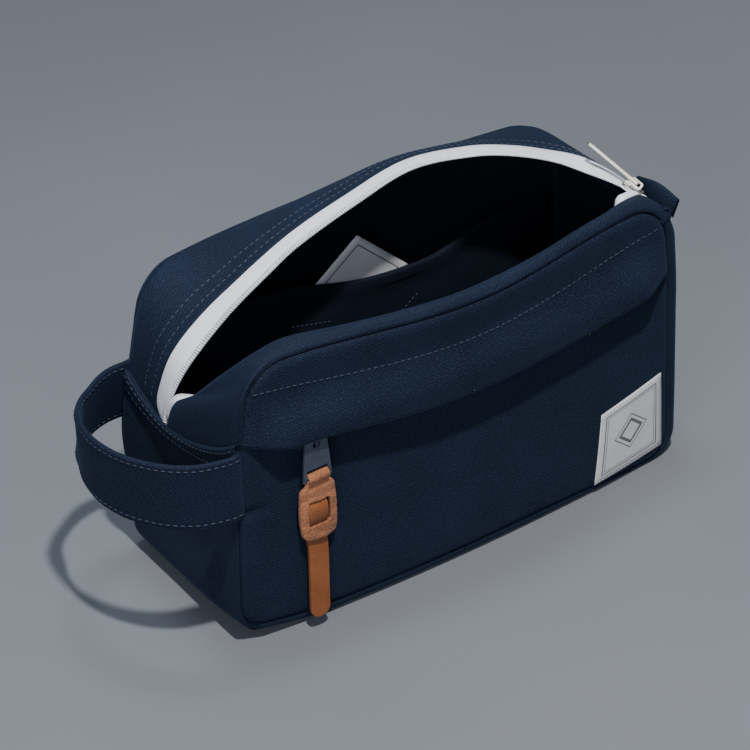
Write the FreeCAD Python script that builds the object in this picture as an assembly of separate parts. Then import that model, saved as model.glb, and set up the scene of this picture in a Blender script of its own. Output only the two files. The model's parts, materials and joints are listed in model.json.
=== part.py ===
import FreeCAD, Part
import math
import os

# Soft zip-top wash bag, standing open on its base. Millimetres, +X along the bag, +Y to its back, +Z up.
# The origin is the middle of the base. The two big faces are bowed panels sewn into a cloth band, the gusset,
# that runs round their edge. The top of the band carries the main zip between two cloth strips, the lips.

V = FreeCAD.Vector
OUT_FOLDER = "parts"

# Driving sizes of the bag
HALF_LENGTH = 115.0
HALF_DEPTH = 46.0
HEIGHT = 140.0
CORNER_R = 26.0         # the upper corners of both faces
BASE_CORNER_R = 13.0
CLOTH = 1.6             # gusset cloth with its backing
THIN_CLOTH = 1.0        # pocket and flap cloth
LINING = 0.7
FLANGE = 6.0            # how far the gusset turns on to each face
SEAM_GAP = 0.5
FRONT_BOW = 5.0         # how far the middle of each face stands out at the top edge
BACK_BOW = 9.0

# Joins between the base gusset and the zip lips, and the cloth ends that stay put
LEFT_JOIN_Z = 97.0
RIGHT_JOIN_Z = 126.0
LIP_LEFT_X = -70.0
LIP_RIGHT_X = 86.0

# Main zip: cloth tape, coil bars and the raised rear lip
TAPE_WIDTH = 9.0
TAPE_THICK = 0.8
COIL_WIDTH = 1.5
COIL_THICK = 2.0
LIP_WIDTH = 34.0
CREST_X = 15.0          # where the rear lip stands highest
CREST_SPAN = 190.0
CREST_RISE = 22.5
LIP_FOOT_Z = 137.0

# Right-hand end of the main zip: the slider's place, the way along the joined coil,
# and the way out of the tape
ZIP_END = V(107.0, -26.0, 137.5)
ZIP_ALONG = V(0.358, -0.786, -0.5)
ZIP_FACE = V(0.722, -0.13, 0.68)
JOINED_LENGTH = 17.0
JOINED_TAPE = 4.0

# Zip slider, shared by both zips
SLIDER_LENGTH = 10.0
SLIDER_WIDTH = 8.6
PLATE = 0.7
CHANNEL = 1.0           # half the gap between the slider's plates
POST = 0.8
ROW_THICK = 1.4         # small coil rows, 1.2 apart so that the slider's post can pass
ROW_WIDTH = 1.3
ROW_GAP = 1.2
SMALL_TAPE = 0.5
CROWN_TOP = 4.1
CROWN_BAR = 0.8
CROWN_HALF = 3.0
CROWN_WIDTH = 2.2

# Front pocket: zip line, slider place, flap
POCKET_ZIP_Z = 100.5
POCKET_ZIP_Y = -47.6
POCKET_ZIP_HALF = 88.0
POCKET_SLIDER_X = -81.5
POCKET_TOP_Z = 92.0
FLAP_EDGE_Z = 92.0      # flap's lower edge at mid-length; it rises towards the ends
FLAP_EDGE_RISE = 10.5
PANEL_TOP_Z = HEIGHT - FLANGE - SEAM_GAP
STRAIGHT = HALF_LENGTH - CORNER_R - 0.8     # half the length between the rounded corners

# Pocket pull: link, coated tab, leather pull
PULL_Y = -51.6
LINK_WIRE = 0.7
TAB_PIVOT_Z = 96.6
TAB_THICK = 1.0
TAB_TOP_WIDTH = 11.0
TAB_FOOT_WIDTH = 14.4
TAB_FOOT_Z = 77.5
LOOP_Z = 79.4
LOOP_R = 2.8
LOOP_BORE_R = 1.2
TAB_BAR_R = 0.8
NECK_WIDTH = 9.4
HEAD_WIDTH = 18.4
HEAD_LOW_Z = 46.5
HEAD_TOP_Z = 76.8
HEAD_FRONT = 1.5
HEAD_BACK = 1.3
TAIL_WIDTH = 10.4
TAIL_TIP_Z = 7.0

# Handle on the left end and tab on the right end
HANDLE_LOW_Z = 69.0
HANDLE_WIDTH = 33.0
HANDLE_REACH = 45.5
HANDLE_HALF = 45.4
HANDLE_THICK = 2.2
HANDLE_ROOT_X = -116.0
HANDLE_FREE_X = -124.0
HANDLE_SEWN_X = -118.0

TAB_ROOT = V(114.8, 0, 126.9)
TAB_LEAN = 25.0

MAIN_PULL_LENGTH = 28.0
MAIN_PULL_WIDTH = 6.8
MAIN_PULL_THICK = 1.2
MAIN_PULL_SLOT = 3.4
PULL_BAR_R = 0.5
PULL_BAR_LIFT = 2.65    # height of the pull's bar above the middle of the tape


def box(x0, x1, y0, y1, z0, z1):
    return Part.makeBox(x1 - x0, y1 - y0, z1 - z0, V(x0, y0, z0))


def centred_box(cx, cy, cz, dx, dy, dz):
    return Part.makeBox(dx, dy, dz, V(cx - dx / 2, cy - dy / 2, cz - dz / 2))


def fused(solids):
    whole = solids[0]
    for s in solids[1:]:
        whole = whole.fuse(s)
    return whole.removeSplitter()


def save(name, shape):
    shape.exportStep(os.path.join(OUT_FOLDER, name + ".step"))


def local_placement(origin, along, face):
    """A placement whose X runs along `along` and whose Z points nearest to `face`."""
    x = V(along).normalize()
    z = V(face)
    z = (z - x * z.dot(x)).normalize()
    y = z.cross(x)
    m = FreeCAD.Matrix(x.x, y.x, z.x, origin.x, x.y, y.y, z.y, origin.y, x.z, y.z, z.z, origin.z, 0, 0, 0, 1)
    return FreeCAD.Placement(m)


def placed(shape, placement):
    moved = shape.copy()
    moved.Placement = placement.multiply(moved.Placement)
    return moved


# ---- the two big faces ----

def outline(inset, y0, y1):
    """The rounded outline of the faces, set in by `inset`, as a solid from y0 to y1."""
    block = box(inset - HALF_LENGTH, HALF_LENGTH - inset, y0, y1, inset, HEIGHT - inset)
    corners = [e for e in block.Edges if abs(e.tangentAt(e.FirstParameter).y) > 0.99]
    low = [e for e in corners if e.CenterOfMass.z < HEIGHT / 2]
    high = [e for e in corners if e.CenterOfMass.z > HEIGHT / 2]
    block = block.makeFillet(CORNER_R - inset, high)
    low = [e for e in block.Edges if any(e.CenterOfMass.isEqual(l.CenterOfMass, 0.01) for l in low)]
    return block.makeFillet(BASE_CORNER_R - inset, low)


def bow(side, x, z):
    """How far a face stands out at (x, z) past its sewn ends. side is -1 at the front and 1 at the back."""
    most = BACK_BOW if side > 0 else FRONT_BOW
    return most * (1 - (x / HALF_LENGTH) ** 2) * z / HEIGHT


def slab(side, z0, z1, out0, out1, thick):
    """A bowed sheet between two heights. out0 and out1 are how far its inner face is from the mid-plane."""
    def profile(z, out):
        swell = max(bow(side, 0, z), 0.2)
        ends = [side * out, side * (out + thick)]
        left, middle, right = ([V(x, end + rise, z) for end in ends] for x, rise in
                               ((-HALF_LENGTH, 0), (0, side * swell), (HALF_LENGTH, 0)))
        inner = Part.Arc(left[0], middle[0], right[0])
        outer = Part.Arc(right[1], middle[1], left[1])
        near_end = Part.LineSegment(right[0], right[1])
        far_end = Part.LineSegment(left[1], left[0])
        return Part.Wire([c.toShape() for c in (inner, near_end, outer, far_end)])
    return Part.makeLoft([profile(z0, out0), profile(z1, out1)], True, True)


def panel(side, inset, z0, z1, out0, out1, thick):
    return slab(side, z0, z1, out0, out1, thick).common(outline(inset, -90, 90))


def below_flap_edge():
    """Everything under the flap's lower edge, which rises in an arc towards both ends."""
    far_out = -90
    end_z = FLAP_EDGE_Z + FLAP_EDGE_RISE
    left, right = (V(x, far_out, end_z) for x in (-HALF_LENGTH, HALF_LENGTH))
    top = Part.Arc(left, V(0, far_out, FLAP_EDGE_Z), right).toShape()
    low = [right, V(HALF_LENGTH, far_out, 60), V(-HALF_LENGTH, far_out, 60), left]
    wire = Part.Wire([top] + [Part.makeLine(a, b) for a, b in zip(low, low[1:])])
    return Part.Face(wire).extrude(V(0, 80, 0))


def back_face():
    save("back_panel", panel(1, FLANGE + SEAM_GAP, FLANGE, HEIGHT, 44.4, 44.4, CLOTH))
    rim = slab(1, PANEL_TOP_Z + 0.6, HEIGHT - 1.2, 44.4, 44.4, CLOTH)
    save("back_rim", rim.common(box(-STRAIGHT, STRAIGHT, 0, 90, 0, 200)))
    save("lining_back", panel(1, FLANGE + SEAM_GAP, FLANGE, HEIGHT, 42.6, 42.6, LINING))


def front_face():
    save("lining_front", panel(-1, 3.2, 3, PANEL_TOP_Z, 39.2, 39.2, LINING))
    save("pocket_back_panel", panel(-1, 2.2, 2, PANEL_TOP_Z, 40.2, 40.2, THIN_CLOTH))
    save("pocket_front_panel", panel(-1, FLANGE + SEAM_GAP, FLANGE, POCKET_TOP_Z, 44.6, 45.0, THIN_CLOTH))
    flap = panel(-1, FLANGE + SEAM_GAP, 88, HEIGHT, 54.4, 44.2, THIN_CLOTH)
    save("pocket_flap", flap.cut(below_flap_edge()))
    label = slab(-1, FLANGE, POCKET_TOP_Z, 45.65, 46.05, 0.5)
    label = label.common(box(71.5, 107.5, -90, 0, 8, 45))
    save("front_label", label.common(outline(FLANGE + 0.8, -90, 90)))


# ---- the band round the faces ----

def channel(cloth, y0, y1):
    """The closed band round both faces, turned on to each face by FLANGE."""
    hollow = outline(0, y0, y1).cut(outline(cloth, y0 + cloth, y1 - cloth))
    return hollow.cut(outline(FLANGE, y0 - 1, y1 + 1))


def gusset():
    lower = channel(CLOTH, -HALF_DEPTH, HALF_DEPTH)
    lower = lower.cut(box(-200, 0, -90, 90, LEFT_JOIN_Z, 200)).cut(box(0, 200, -90, 90, RIGHT_JOIN_Z, 200))
    save("base_gusset", lower)
    lining = outline(2.2, -38.8, 42.2).cut(outline(2.2 + LINING, -90, 90))
    lining = lining.cut(box(-200, 0, -90, 90, LEFT_JOIN_Z - 2, 200))
    save("lining_gusset", lining.cut(box(0, 200, -90, 90, RIGHT_JOIN_Z - 2, 200)))
    band = box(-HALF_LENGTH - 1.5, -HALF_LENGTH - 0.3, -42.5, 42.5, LEFT_JOIN_Z - 9.5, LEFT_JOIN_Z + 1)
    save("left_join_band", band)


def prism_along_x(points, x0, x1):
    """A solid whose cross-section is the polygon of (y, z) points, from x0 to x1."""
    corners = [V(x0, y, z) for y, z in points]
    return Part.Face(Part.makePolygon(corners + corners[:1])).extrude(V(x1 - x0, 0, 0))


def lip_ends():
    """The ends of the two lips and of their zip tapes, which stay with the bag when the lips fold."""
    ring = channel(CLOTH, -HALF_DEPTH, HALF_DEPTH)
    tape_ring = outline(0.4, -90, 90).cut(outline(0.4 + TAPE_THICK, -91, 91))
    coil_ring = outline(-0.2, -90, 90).cut(outline(COIL_THICK - 0.2, -91, 91))
    left = box(-200, LIP_LEFT_X - 0.6, -90, 90, LEFT_JOIN_Z + 0.4, 200)
    rear_left = ring.common(left).common(box(-200, 0, 19, 90, 0, 200))
    foot_z = LEFT_JOIN_Z + 0.4
    shoulder = [(-60, foot_z), (1, foot_z), (0, 104), (-28, 128), (-34, 145), (-60, 145)]
    front_left = ring.common(prism_along_x(shoulder, -200, -STRAIGHT - 0.4))
    right = box(LIP_RIGHT_X + 0.6, 200, -90, 90, RIGHT_JOIN_Z + 0.4, 200)
    behind_zip = fused([box(0, 105, 15, 90, 0, 200), box(105, 200, -14, 90, 0, 200)])
    rear_right = ring.common(right).common(behind_zip)
    front_right = ring.common(right).common(box(STRAIGHT + 0.4, 200, -90, -41.5, 0, 200))
    save("rear_lip_left_end", rear_left)
    save("rear_lip_right_end", rear_right)
    save("front_lip_left_end", front_left)
    save("front_lip_right_end", front_right)
    tape_bend = fused([box(0, 96.5, 6, 14.6, 0, 200), box(96.5, 104.4, -16, 14.6, 0, 200)])
    tapes = [tape_ring.common(left).common(box(-200, 0, 9.6, 18.7, 0, 200)),
             tape_ring.common(box(-200, -90, 1.3, 7.2, LEFT_JOIN_Z + 0.4, 110)),
             tape_ring.common(right).common(tape_bend)]
    save("main_zip_tape_ends", Part.makeCompound(tapes))
    coils = [coil_ring.common(left).common(box(-200, 0, 8.1, 9.4, 0, 200)),
             coil_ring.common(right).common(box(94.8, 96.2, -16, 5.6, 0, 200))]
    save("main_zip_coil_ends", Part.makeCompound(coils))


# ---- the lips ----

def crest(x):
    """1 where the rear lip stands highest, falling to nothing at its ends."""
    return math.cos(math.pi * (x - CREST_X) / CREST_SPAN)


def tape_edge(x):
    """Where the rear lip's cloth ends and its zip tape begins, as (y, z)."""
    return 14.5 + 10 * crest(x), LIP_FOOT_Z + CREST_RISE * crest(x)


def bent_sheet(x, poles, inward):
    """A curved sheet's cross-section at x: the Bezier curve of `poles`, and that curve moved by `inward`."""
    outer = Part.BezierCurve()
    outer.setPoles([V(x, y, z) for y, z in poles])
    inner = Part.BezierCurve()
    inner.setPoles([V(x, y + dy, z + dz) for (y, z), (dy, dz) in zip(poles, inward)])
    free_end = Part.makeLine(outer.getPole(4), inner.getPole(4))
    foot = Part.makeLine(outer.getPole(1), inner.getPole(1))
    return Part.Wire([outer.toShape(), free_end, inner.toShape(), foot])


def block_section(x, y0, z0, y1, z1, thick):
    """A straight strip's cross-section at x, from (y0, z0) to (y1, z1), `thick` downwards."""
    corners = [V(x, y0, z0), V(x, y1, z1), V(x, y1, z1 - thick), V(x, y0, z0 - thick)]
    return Part.makePolygon(corners + corners[:1])


def lip_loft(section):
    """A solid through the section's shape at even steps along the lip."""
    steps = 6
    xs = [LIP_LEFT_X + (LIP_RIGHT_X - LIP_LEFT_X) * i / steps for i in range(steps + 1)]
    return Part.makeLoft([section(x) for x in xs], True, False)


def rear_lip():
    def cloth(x):
        y, z = tape_edge(x)
        seam = HALF_DEPTH + bow(1, x, HEIGHT)
        foot = HEIGHT + 0.6
        poles = [(seam, foot), (seam, foot + 0.8 * (z - foot) + 3), (y + 15, z - 1), (y, z)]
        return bent_sheet(x, poles, [(-CLOTH, 0), (-CLOTH, -CLOTH / 2), (0, -CLOTH), (0, -CLOTH)])

    def tape(x):
        y, z = tape_edge(x)
        return block_section(x, y - 0.3, z - 0.4, y - TAPE_WIDTH, z - 0.4 + 2 * crest(x), TAPE_THICK)

    def coil(x):
        y, z = tape_edge(x)
        top = z + 0.4 + 2 * crest(x)
        return block_section(x, y - TAPE_WIDTH - 0.2, top, y - TAPE_WIDTH - 0.2 - COIL_WIDTH, top, COIL_THICK)

    save("rear_lip_cloth", lip_loft(cloth))
    save("rear_zip_tape", lip_loft(tape))
    save("rear_zip_coil", lip_loft(coil))


def front_lip():
    """The front lip, folded down inside the bag, and the rolled rim that it hangs from."""
    reach = box(LIP_LEFT_X, LIP_RIGHT_X - 2, -90, 90, 0, 200)
    top = HEIGHT - 3
    low = top - LIP_WIDTH
    save("front_lip_cloth", slab(-1, low, top, 35.6, 35.6, CLOTH - 0.2).common(reach))
    tape_low = low - 0.3 - TAPE_WIDTH
    save("front_zip_tape", slab(-1, tape_low, low - 0.3, 35.9, 35.9, TAPE_THICK).common(reach))
    coil = slab(-1, tape_low - 0.2 - COIL_WIDTH, tape_low - 0.2, 35.3, 35.3, COIL_THICK)
    save("front_zip_coil", coil.common(reach))
    rim_low = PANEL_TOP_Z + 0.8
    rim_top = HEIGHT + 1
    rim = fused([slab(-1, rim_low, rim_top, 44.4, 44.4, CLOTH),
                 slab(-1, rim_top - 1.4, rim_top, 38, 38, HALF_DEPTH - 38),
                 slab(-1, rim_low, rim_top, 38, 38, 1.2)])
    save("front_rim", rim.common(box(-STRAIGHT, STRAIGHT, -90, 90, 0, 200)))


# ---- zips ----

def slider():
    """A slider in its own frame: X along the coil, Z out of the tape, origin in the middle of the coil."""
    half_l, half_w = SLIDER_LENGTH / 2, SLIDER_WIDTH / 2
    plates = []
    for z in (CHANNEL, -CHANNEL - PLATE):
        plate = box(-half_l, half_l, -half_w, half_w, z, z + PLATE)
        corners = [e for e in plate.Edges if abs(e.tangentAt(e.FirstParameter).z) > 0.99]
        plates.append(plate.makeFillet(2.4, corners))
    inside = CHANNEL + 0.1
    post = box(-half_l + 0.6, -half_l + 3.4, -POST / 2, POST / 2, -inside, inside)
    rims = [centred_box(0, s * (half_w - 0.2), inside - 0.3, 4.8, 0.4, 0.6) for s in (-1, 1)]
    plate_top = CHANNEL + PLATE
    arch = box(-CROWN_HALF, CROWN_HALF, -CROWN_WIDTH / 2, CROWN_WIDTH / 2, plate_top - 0.1, CROWN_TOP)
    across = [e for e in arch.Edges if abs(e.tangentAt(e.FirstParameter).y) > 0.99]
    arch = arch.makeFillet(1.0, [e for e in across if e.CenterOfMass.z > CROWN_TOP - 0.1])
    window_half = CROWN_HALF - CROWN_BAR - 0.2
    window = box(-window_half, window_half, -5, 5, plate_top, CROWN_TOP - CROWN_BAR)
    return fused(plates + [post] + rims + [arch]).cut(window)


def joined_rows(length, start):
    """Two coil rows side by side with the slit that the slider's post runs in."""
    off = (ROW_GAP + ROW_WIDTH) / 2
    return [centred_box(start + length / 2, s * off, 0, length, ROW_WIDTH, ROW_THICK) for s in (-1, 1)]


def main_zip_end():
    """The last joined stretch of the main zip at the right end, with its slider, pull and stop."""
    frame = local_placement(ZIP_END, ZIP_ALONG, ZIP_FACE)
    start = -SLIDER_LENGTH / 2 + 4
    save("main_slider_body", placed(slider(), frame))
    rows = joined_rows(JOINED_LENGTH - 4, start)
    save("main_zip_joined_coil", placed(Part.makeCompound(rows), frame))
    near = ROW_GAP / 2 + ROW_WIDTH + 0.1
    half = SMALL_TAPE / 2
    tapes = [box(start, start + JOINED_LENGTH - 4, near, near + JOINED_TAPE, -half, half),
             box(start, start + JOINED_LENGTH - 4, -near - JOINED_TAPE, -near, -half, half)]
    save("main_zip_joined_tape", placed(Part.makeCompound(tapes), frame))
    stop_x = start + JOINED_LENGTH - 3.7
    save("main_zip_stop", placed(box(stop_x, stop_x + 1.6, -2.6, 2.6, -1, 1), frame))
    save("main_pull", placed(main_pull(), frame))


def main_pull():
    """A flat metal loop round a bar that turns in the slider's crown; it lies back along -X."""
    half_w, half_t = MAIN_PULL_WIDTH / 2, MAIN_PULL_THICK / 2
    plate = box(-MAIN_PULL_LENGTH, 0.6, -half_w, half_w, PULL_BAR_LIFT - half_t, PULL_BAR_LIFT + half_t)
    corners = [e for e in plate.Edges if abs(e.tangentAt(e.FirstParameter).z) > 0.99]
    plate = plate.makeFillet(0.9, [c for c in corners if c.CenterOfMass.x < -1])
    slot = box(-MAIN_PULL_LENGTH + 2, 3, -MAIN_PULL_SLOT / 2, MAIN_PULL_SLOT / 2, 0, 9)
    bar_start = V(0, -MAIN_PULL_SLOT / 2 - 0.5, PULL_BAR_LIFT)
    bar = Part.makeCylinder(PULL_BAR_R, MAIN_PULL_SLOT + 1, bar_start, V(0, 1, 0))
    return fused([plate.cut(slot), bar])


def pocket_zip():
    along = local_placement(V(POCKET_SLIDER_X, POCKET_ZIP_Y, POCKET_ZIP_Z), V(1, 0, 0), V(0, -1, 0))
    save("pocket_slider_body", placed(slider(), along))
    near = -POCKET_ZIP_HALF - POCKET_SLIDER_X
    rows = joined_rows(2 * POCKET_ZIP_HALF, near)
    save("pocket_zip_coil", placed(Part.makeCompound(rows), along))
    edge = ROW_GAP / 2 + ROW_WIDTH + 0.1
    back = POCKET_ZIP_Y + SMALL_TAPE / 2
    span = (-POCKET_ZIP_HALF, POCKET_ZIP_HALF, back - SMALL_TAPE, back)
    save("pocket_zip_tape_upper", box(*span, POCKET_ZIP_Z + edge, POCKET_ZIP_Z + 11))
    save("pocket_zip_tape_lower", box(*span, POCKET_TOP_Z + 0.4, POCKET_ZIP_Z - edge))
    stop_x = POCKET_ZIP_HALF + 1.2
    stops = [centred_box(x, POCKET_ZIP_Y, POCKET_ZIP_Z, 1.8, 2, 4.6) for x in (-stop_x, stop_x)]
    save("pocket_zip_stops", Part.makeCompound(stops))


# ---- the pocket's pull ----

def pull_link():
    """A wire ring in the YZ plane, through the slider's crown above and the tab's eye below."""
    high = POCKET_ZIP_Z + CROWN_WIDTH / 2 + 0.7
    low = TAB_PIVOT_Z - 1.4
    y0, y1 = PULL_Y - 0.7, PULL_Y + 1.1
    outer = box(POCKET_SLIDER_X - 0.5, POCKET_SLIDER_X + 0.5,
                y0 - LINK_WIRE, y1 + LINK_WIRE, low - LINK_WIRE, high + LINK_WIRE)
    corners = [e for e in outer.Edges if abs(e.tangentAt(e.FirstParameter).x) > 0.99]
    hole = box(POCKET_SLIDER_X - 2, POCKET_SLIDER_X + 2, y0, y1, low, high)
    return outer.makeFillet(1.0, corners).cut(hole)


def pull_tab():
    """The coated metal tab: an eye for the link at the top, and a slot with a bar for the leather below."""
    y = PULL_Y - TAB_THICK / 2
    top, foot = TAB_TOP_WIDTH / 2, TAB_FOOT_WIDTH / 2
    high = TAB_PIVOT_Z + 0.5
    corners = [V(POCKET_SLIDER_X - foot, y, TAB_FOOT_Z), V(POCKET_SLIDER_X + foot, y, TAB_FOOT_Z),
               V(POCKET_SLIDER_X + top, y, high), V(POCKET_SLIDER_X - top, y, high)]
    plate = Part.Face(Part.makePolygon(corners + corners[:1])).extrude(V(0, TAB_THICK, 0))
    eye = centred_box(POCKET_SLIDER_X, PULL_Y, TAB_PIVOT_Z - 1.7, 3.2, 9, 2.4)
    slot_half = NECK_WIDTH / 2 + 0.5
    slot_top = LOOP_Z + LOOP_R + 0.9
    slot = box(POCKET_SLIDER_X - slot_half, POCKET_SLIDER_X + slot_half, -90, 0, TAB_FOOT_Z - 1, slot_top)
    bar_start = V(POCKET_SLIDER_X - slot_half - 0.5, PULL_Y, LOOP_Z)
    bar = Part.makeCylinder(TAB_BAR_R, 2 * slot_half + 1, bar_start, V(1, 0, 0))
    return fused([plate.cut(eye).cut(slot), bar])


def leather_pull():
    """One strip of leather: a loop round the tab's bar, a wide head with a window, and a hanging tail."""
    x0 = POCKET_SLIDER_X - NECK_WIDTH / 2
    loop = Part.makeCylinder(LOOP_R, NECK_WIDTH, V(x0, PULL_Y, LOOP_Z), V(1, 0, 0))
    bore = Part.makeCylinder(LOOP_BORE_R, NECK_WIDTH + 2, V(x0 - 1, PULL_Y, LOOP_Z), V(1, 0, 0))
    neck = box(x0, x0 + NECK_WIDTH, PULL_Y - HEAD_FRONT, PULL_Y + HEAD_BACK, HEAD_TOP_Z - 1, LOOP_Z - 1.9)
    half = HEAD_WIDTH / 2
    head = box(POCKET_SLIDER_X - half, POCKET_SLIDER_X + half,
               PULL_Y - HEAD_FRONT, PULL_Y + HEAD_BACK, HEAD_LOW_Z, HEAD_TOP_Z)
    corners = [e for e in head.Edges if abs(e.tangentAt(e.FirstParameter).y) > 0.99]
    head = head.makeFillet(5, corners)
    window = centred_box(POCKET_SLIDER_X, PULL_Y - HEAD_FRONT, (HEAD_LOW_Z + HEAD_TOP_Z) / 2, 9.6, 2, 10.5)
    tail_half = TAIL_WIDTH / 2
    tail = box(POCKET_SLIDER_X - tail_half, POCKET_SLIDER_X + tail_half,
               PULL_Y - 1, PULL_Y + 1, TAIL_TIP_Z, HEAD_LOW_Z + 2)
    upright = [e for e in tail.Edges if abs(e.tangentAt(e.FirstParameter).y) > 0.99]
    tail = tail.makeFillet(4.5, [e for e in upright if e.CenterOfMass.z < HEAD_LOW_Z])
    return fused([loop, neck, head.cut(window), tail]).cut(bore)


# ---- handle and end tab ----

def handle():
    def half_ring(reach, half):
        ellipse = Part.Ellipse(V(HANDLE_ROOT_X, 0, HANDLE_LOW_Z), reach, half)
        return Part.ArcOfEllipse(ellipse, math.pi / 2, 1.5 * math.pi).toShape()
    outer = half_ring(HANDLE_REACH, HANDLE_HALF)
    inner = half_ring(HANDLE_REACH - HANDLE_THICK, HANDLE_HALF - HANDLE_THICK)
    across = V(0, HANDLE_THICK, 0)
    front, back = (V(HANDLE_ROOT_X, s * HANDLE_HALF, HANDLE_LOW_Z) for s in (-1, 1))
    ends = [Part.makeLine(front, front + across), Part.makeLine(back, back - across)]
    wire = Part.Wire(Part.__sortEdges__([outer, inner] + ends))
    strap = Part.Face(wire).extrude(V(0, 0, HANDLE_WIDTH))
    save("handle_strap", strap.common(box(-200, HANDLE_FREE_X, -90, 90, 0, 200)))
    sewn = strap.common(box(HANDLE_SEWN_X, 0, -90, 90, 0, 200))
    save("handle_sewn_ends", Part.makeCompound(sewn.Solids))


def end_tab():
    """A folded cloth tab that leans out from the right-hand end of the zip."""
    tab = box(0, 2.6, -45, -27, 0, 13)
    edges = [e for e in tab.Edges if abs(e.tangentAt(e.FirstParameter).x) > 0.99 and e.CenterOfMass.z > 6]
    tab = tab.makeFillet(2.5, edges)
    tab.rotate(V(0, 0, 0), V(0, 1, 0), TAB_LEAN)
    tab.translate(TAB_ROOT)
    save("end_tab", tab)


# ---- inside ----

def inside():
    """The slip pocket on the back lining, and the square label that stands on its corner behind it."""
    low, high = 20.0, 95.0
    hem = 4.0
    reach = box(-78, 80, 0, 90, 0, 200)
    save("inner_pocket", slab(1, low, high, 41.2, 33.6, THIN_CLOTH).common(reach))
    fold = slab(1, high + 0.2, high + 0.2 + hem, 33.2, 32.8, THIN_CLOTH + 0.8)
    save("inner_pocket_hem", fold.common(reach))
    side = 34.0
    middle = V(3, 41.9 + bow(1, 3, 78), 101)
    card = Part.makeBox(side, 0.5, side, V(-side / 2, 0, -side / 2))
    card.rotate(V(0, 0, 0), V(0, 1, 0), 45)
    card.rotate(V(0, 0, 0), V(1, 0, 0), -math.degrees(math.atan(BACK_BOW / HEIGHT)))
    card.translate(middle)
    save("inner_label", card)


def main():
    os.makedirs(OUT_FOLDER, exist_ok=True)
    back_face()
    front_face()
    gusset()
    lip_ends()
    rear_lip()
    front_lip()
    main_zip_end()
    pocket_zip()
    save("pocket_pull_link", pull_link())
    save("pocket_pull_tab", pull_tab())
    save("leather_pull", leather_pull())
    handle()
    end_tab()
    inside()


main()
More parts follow.
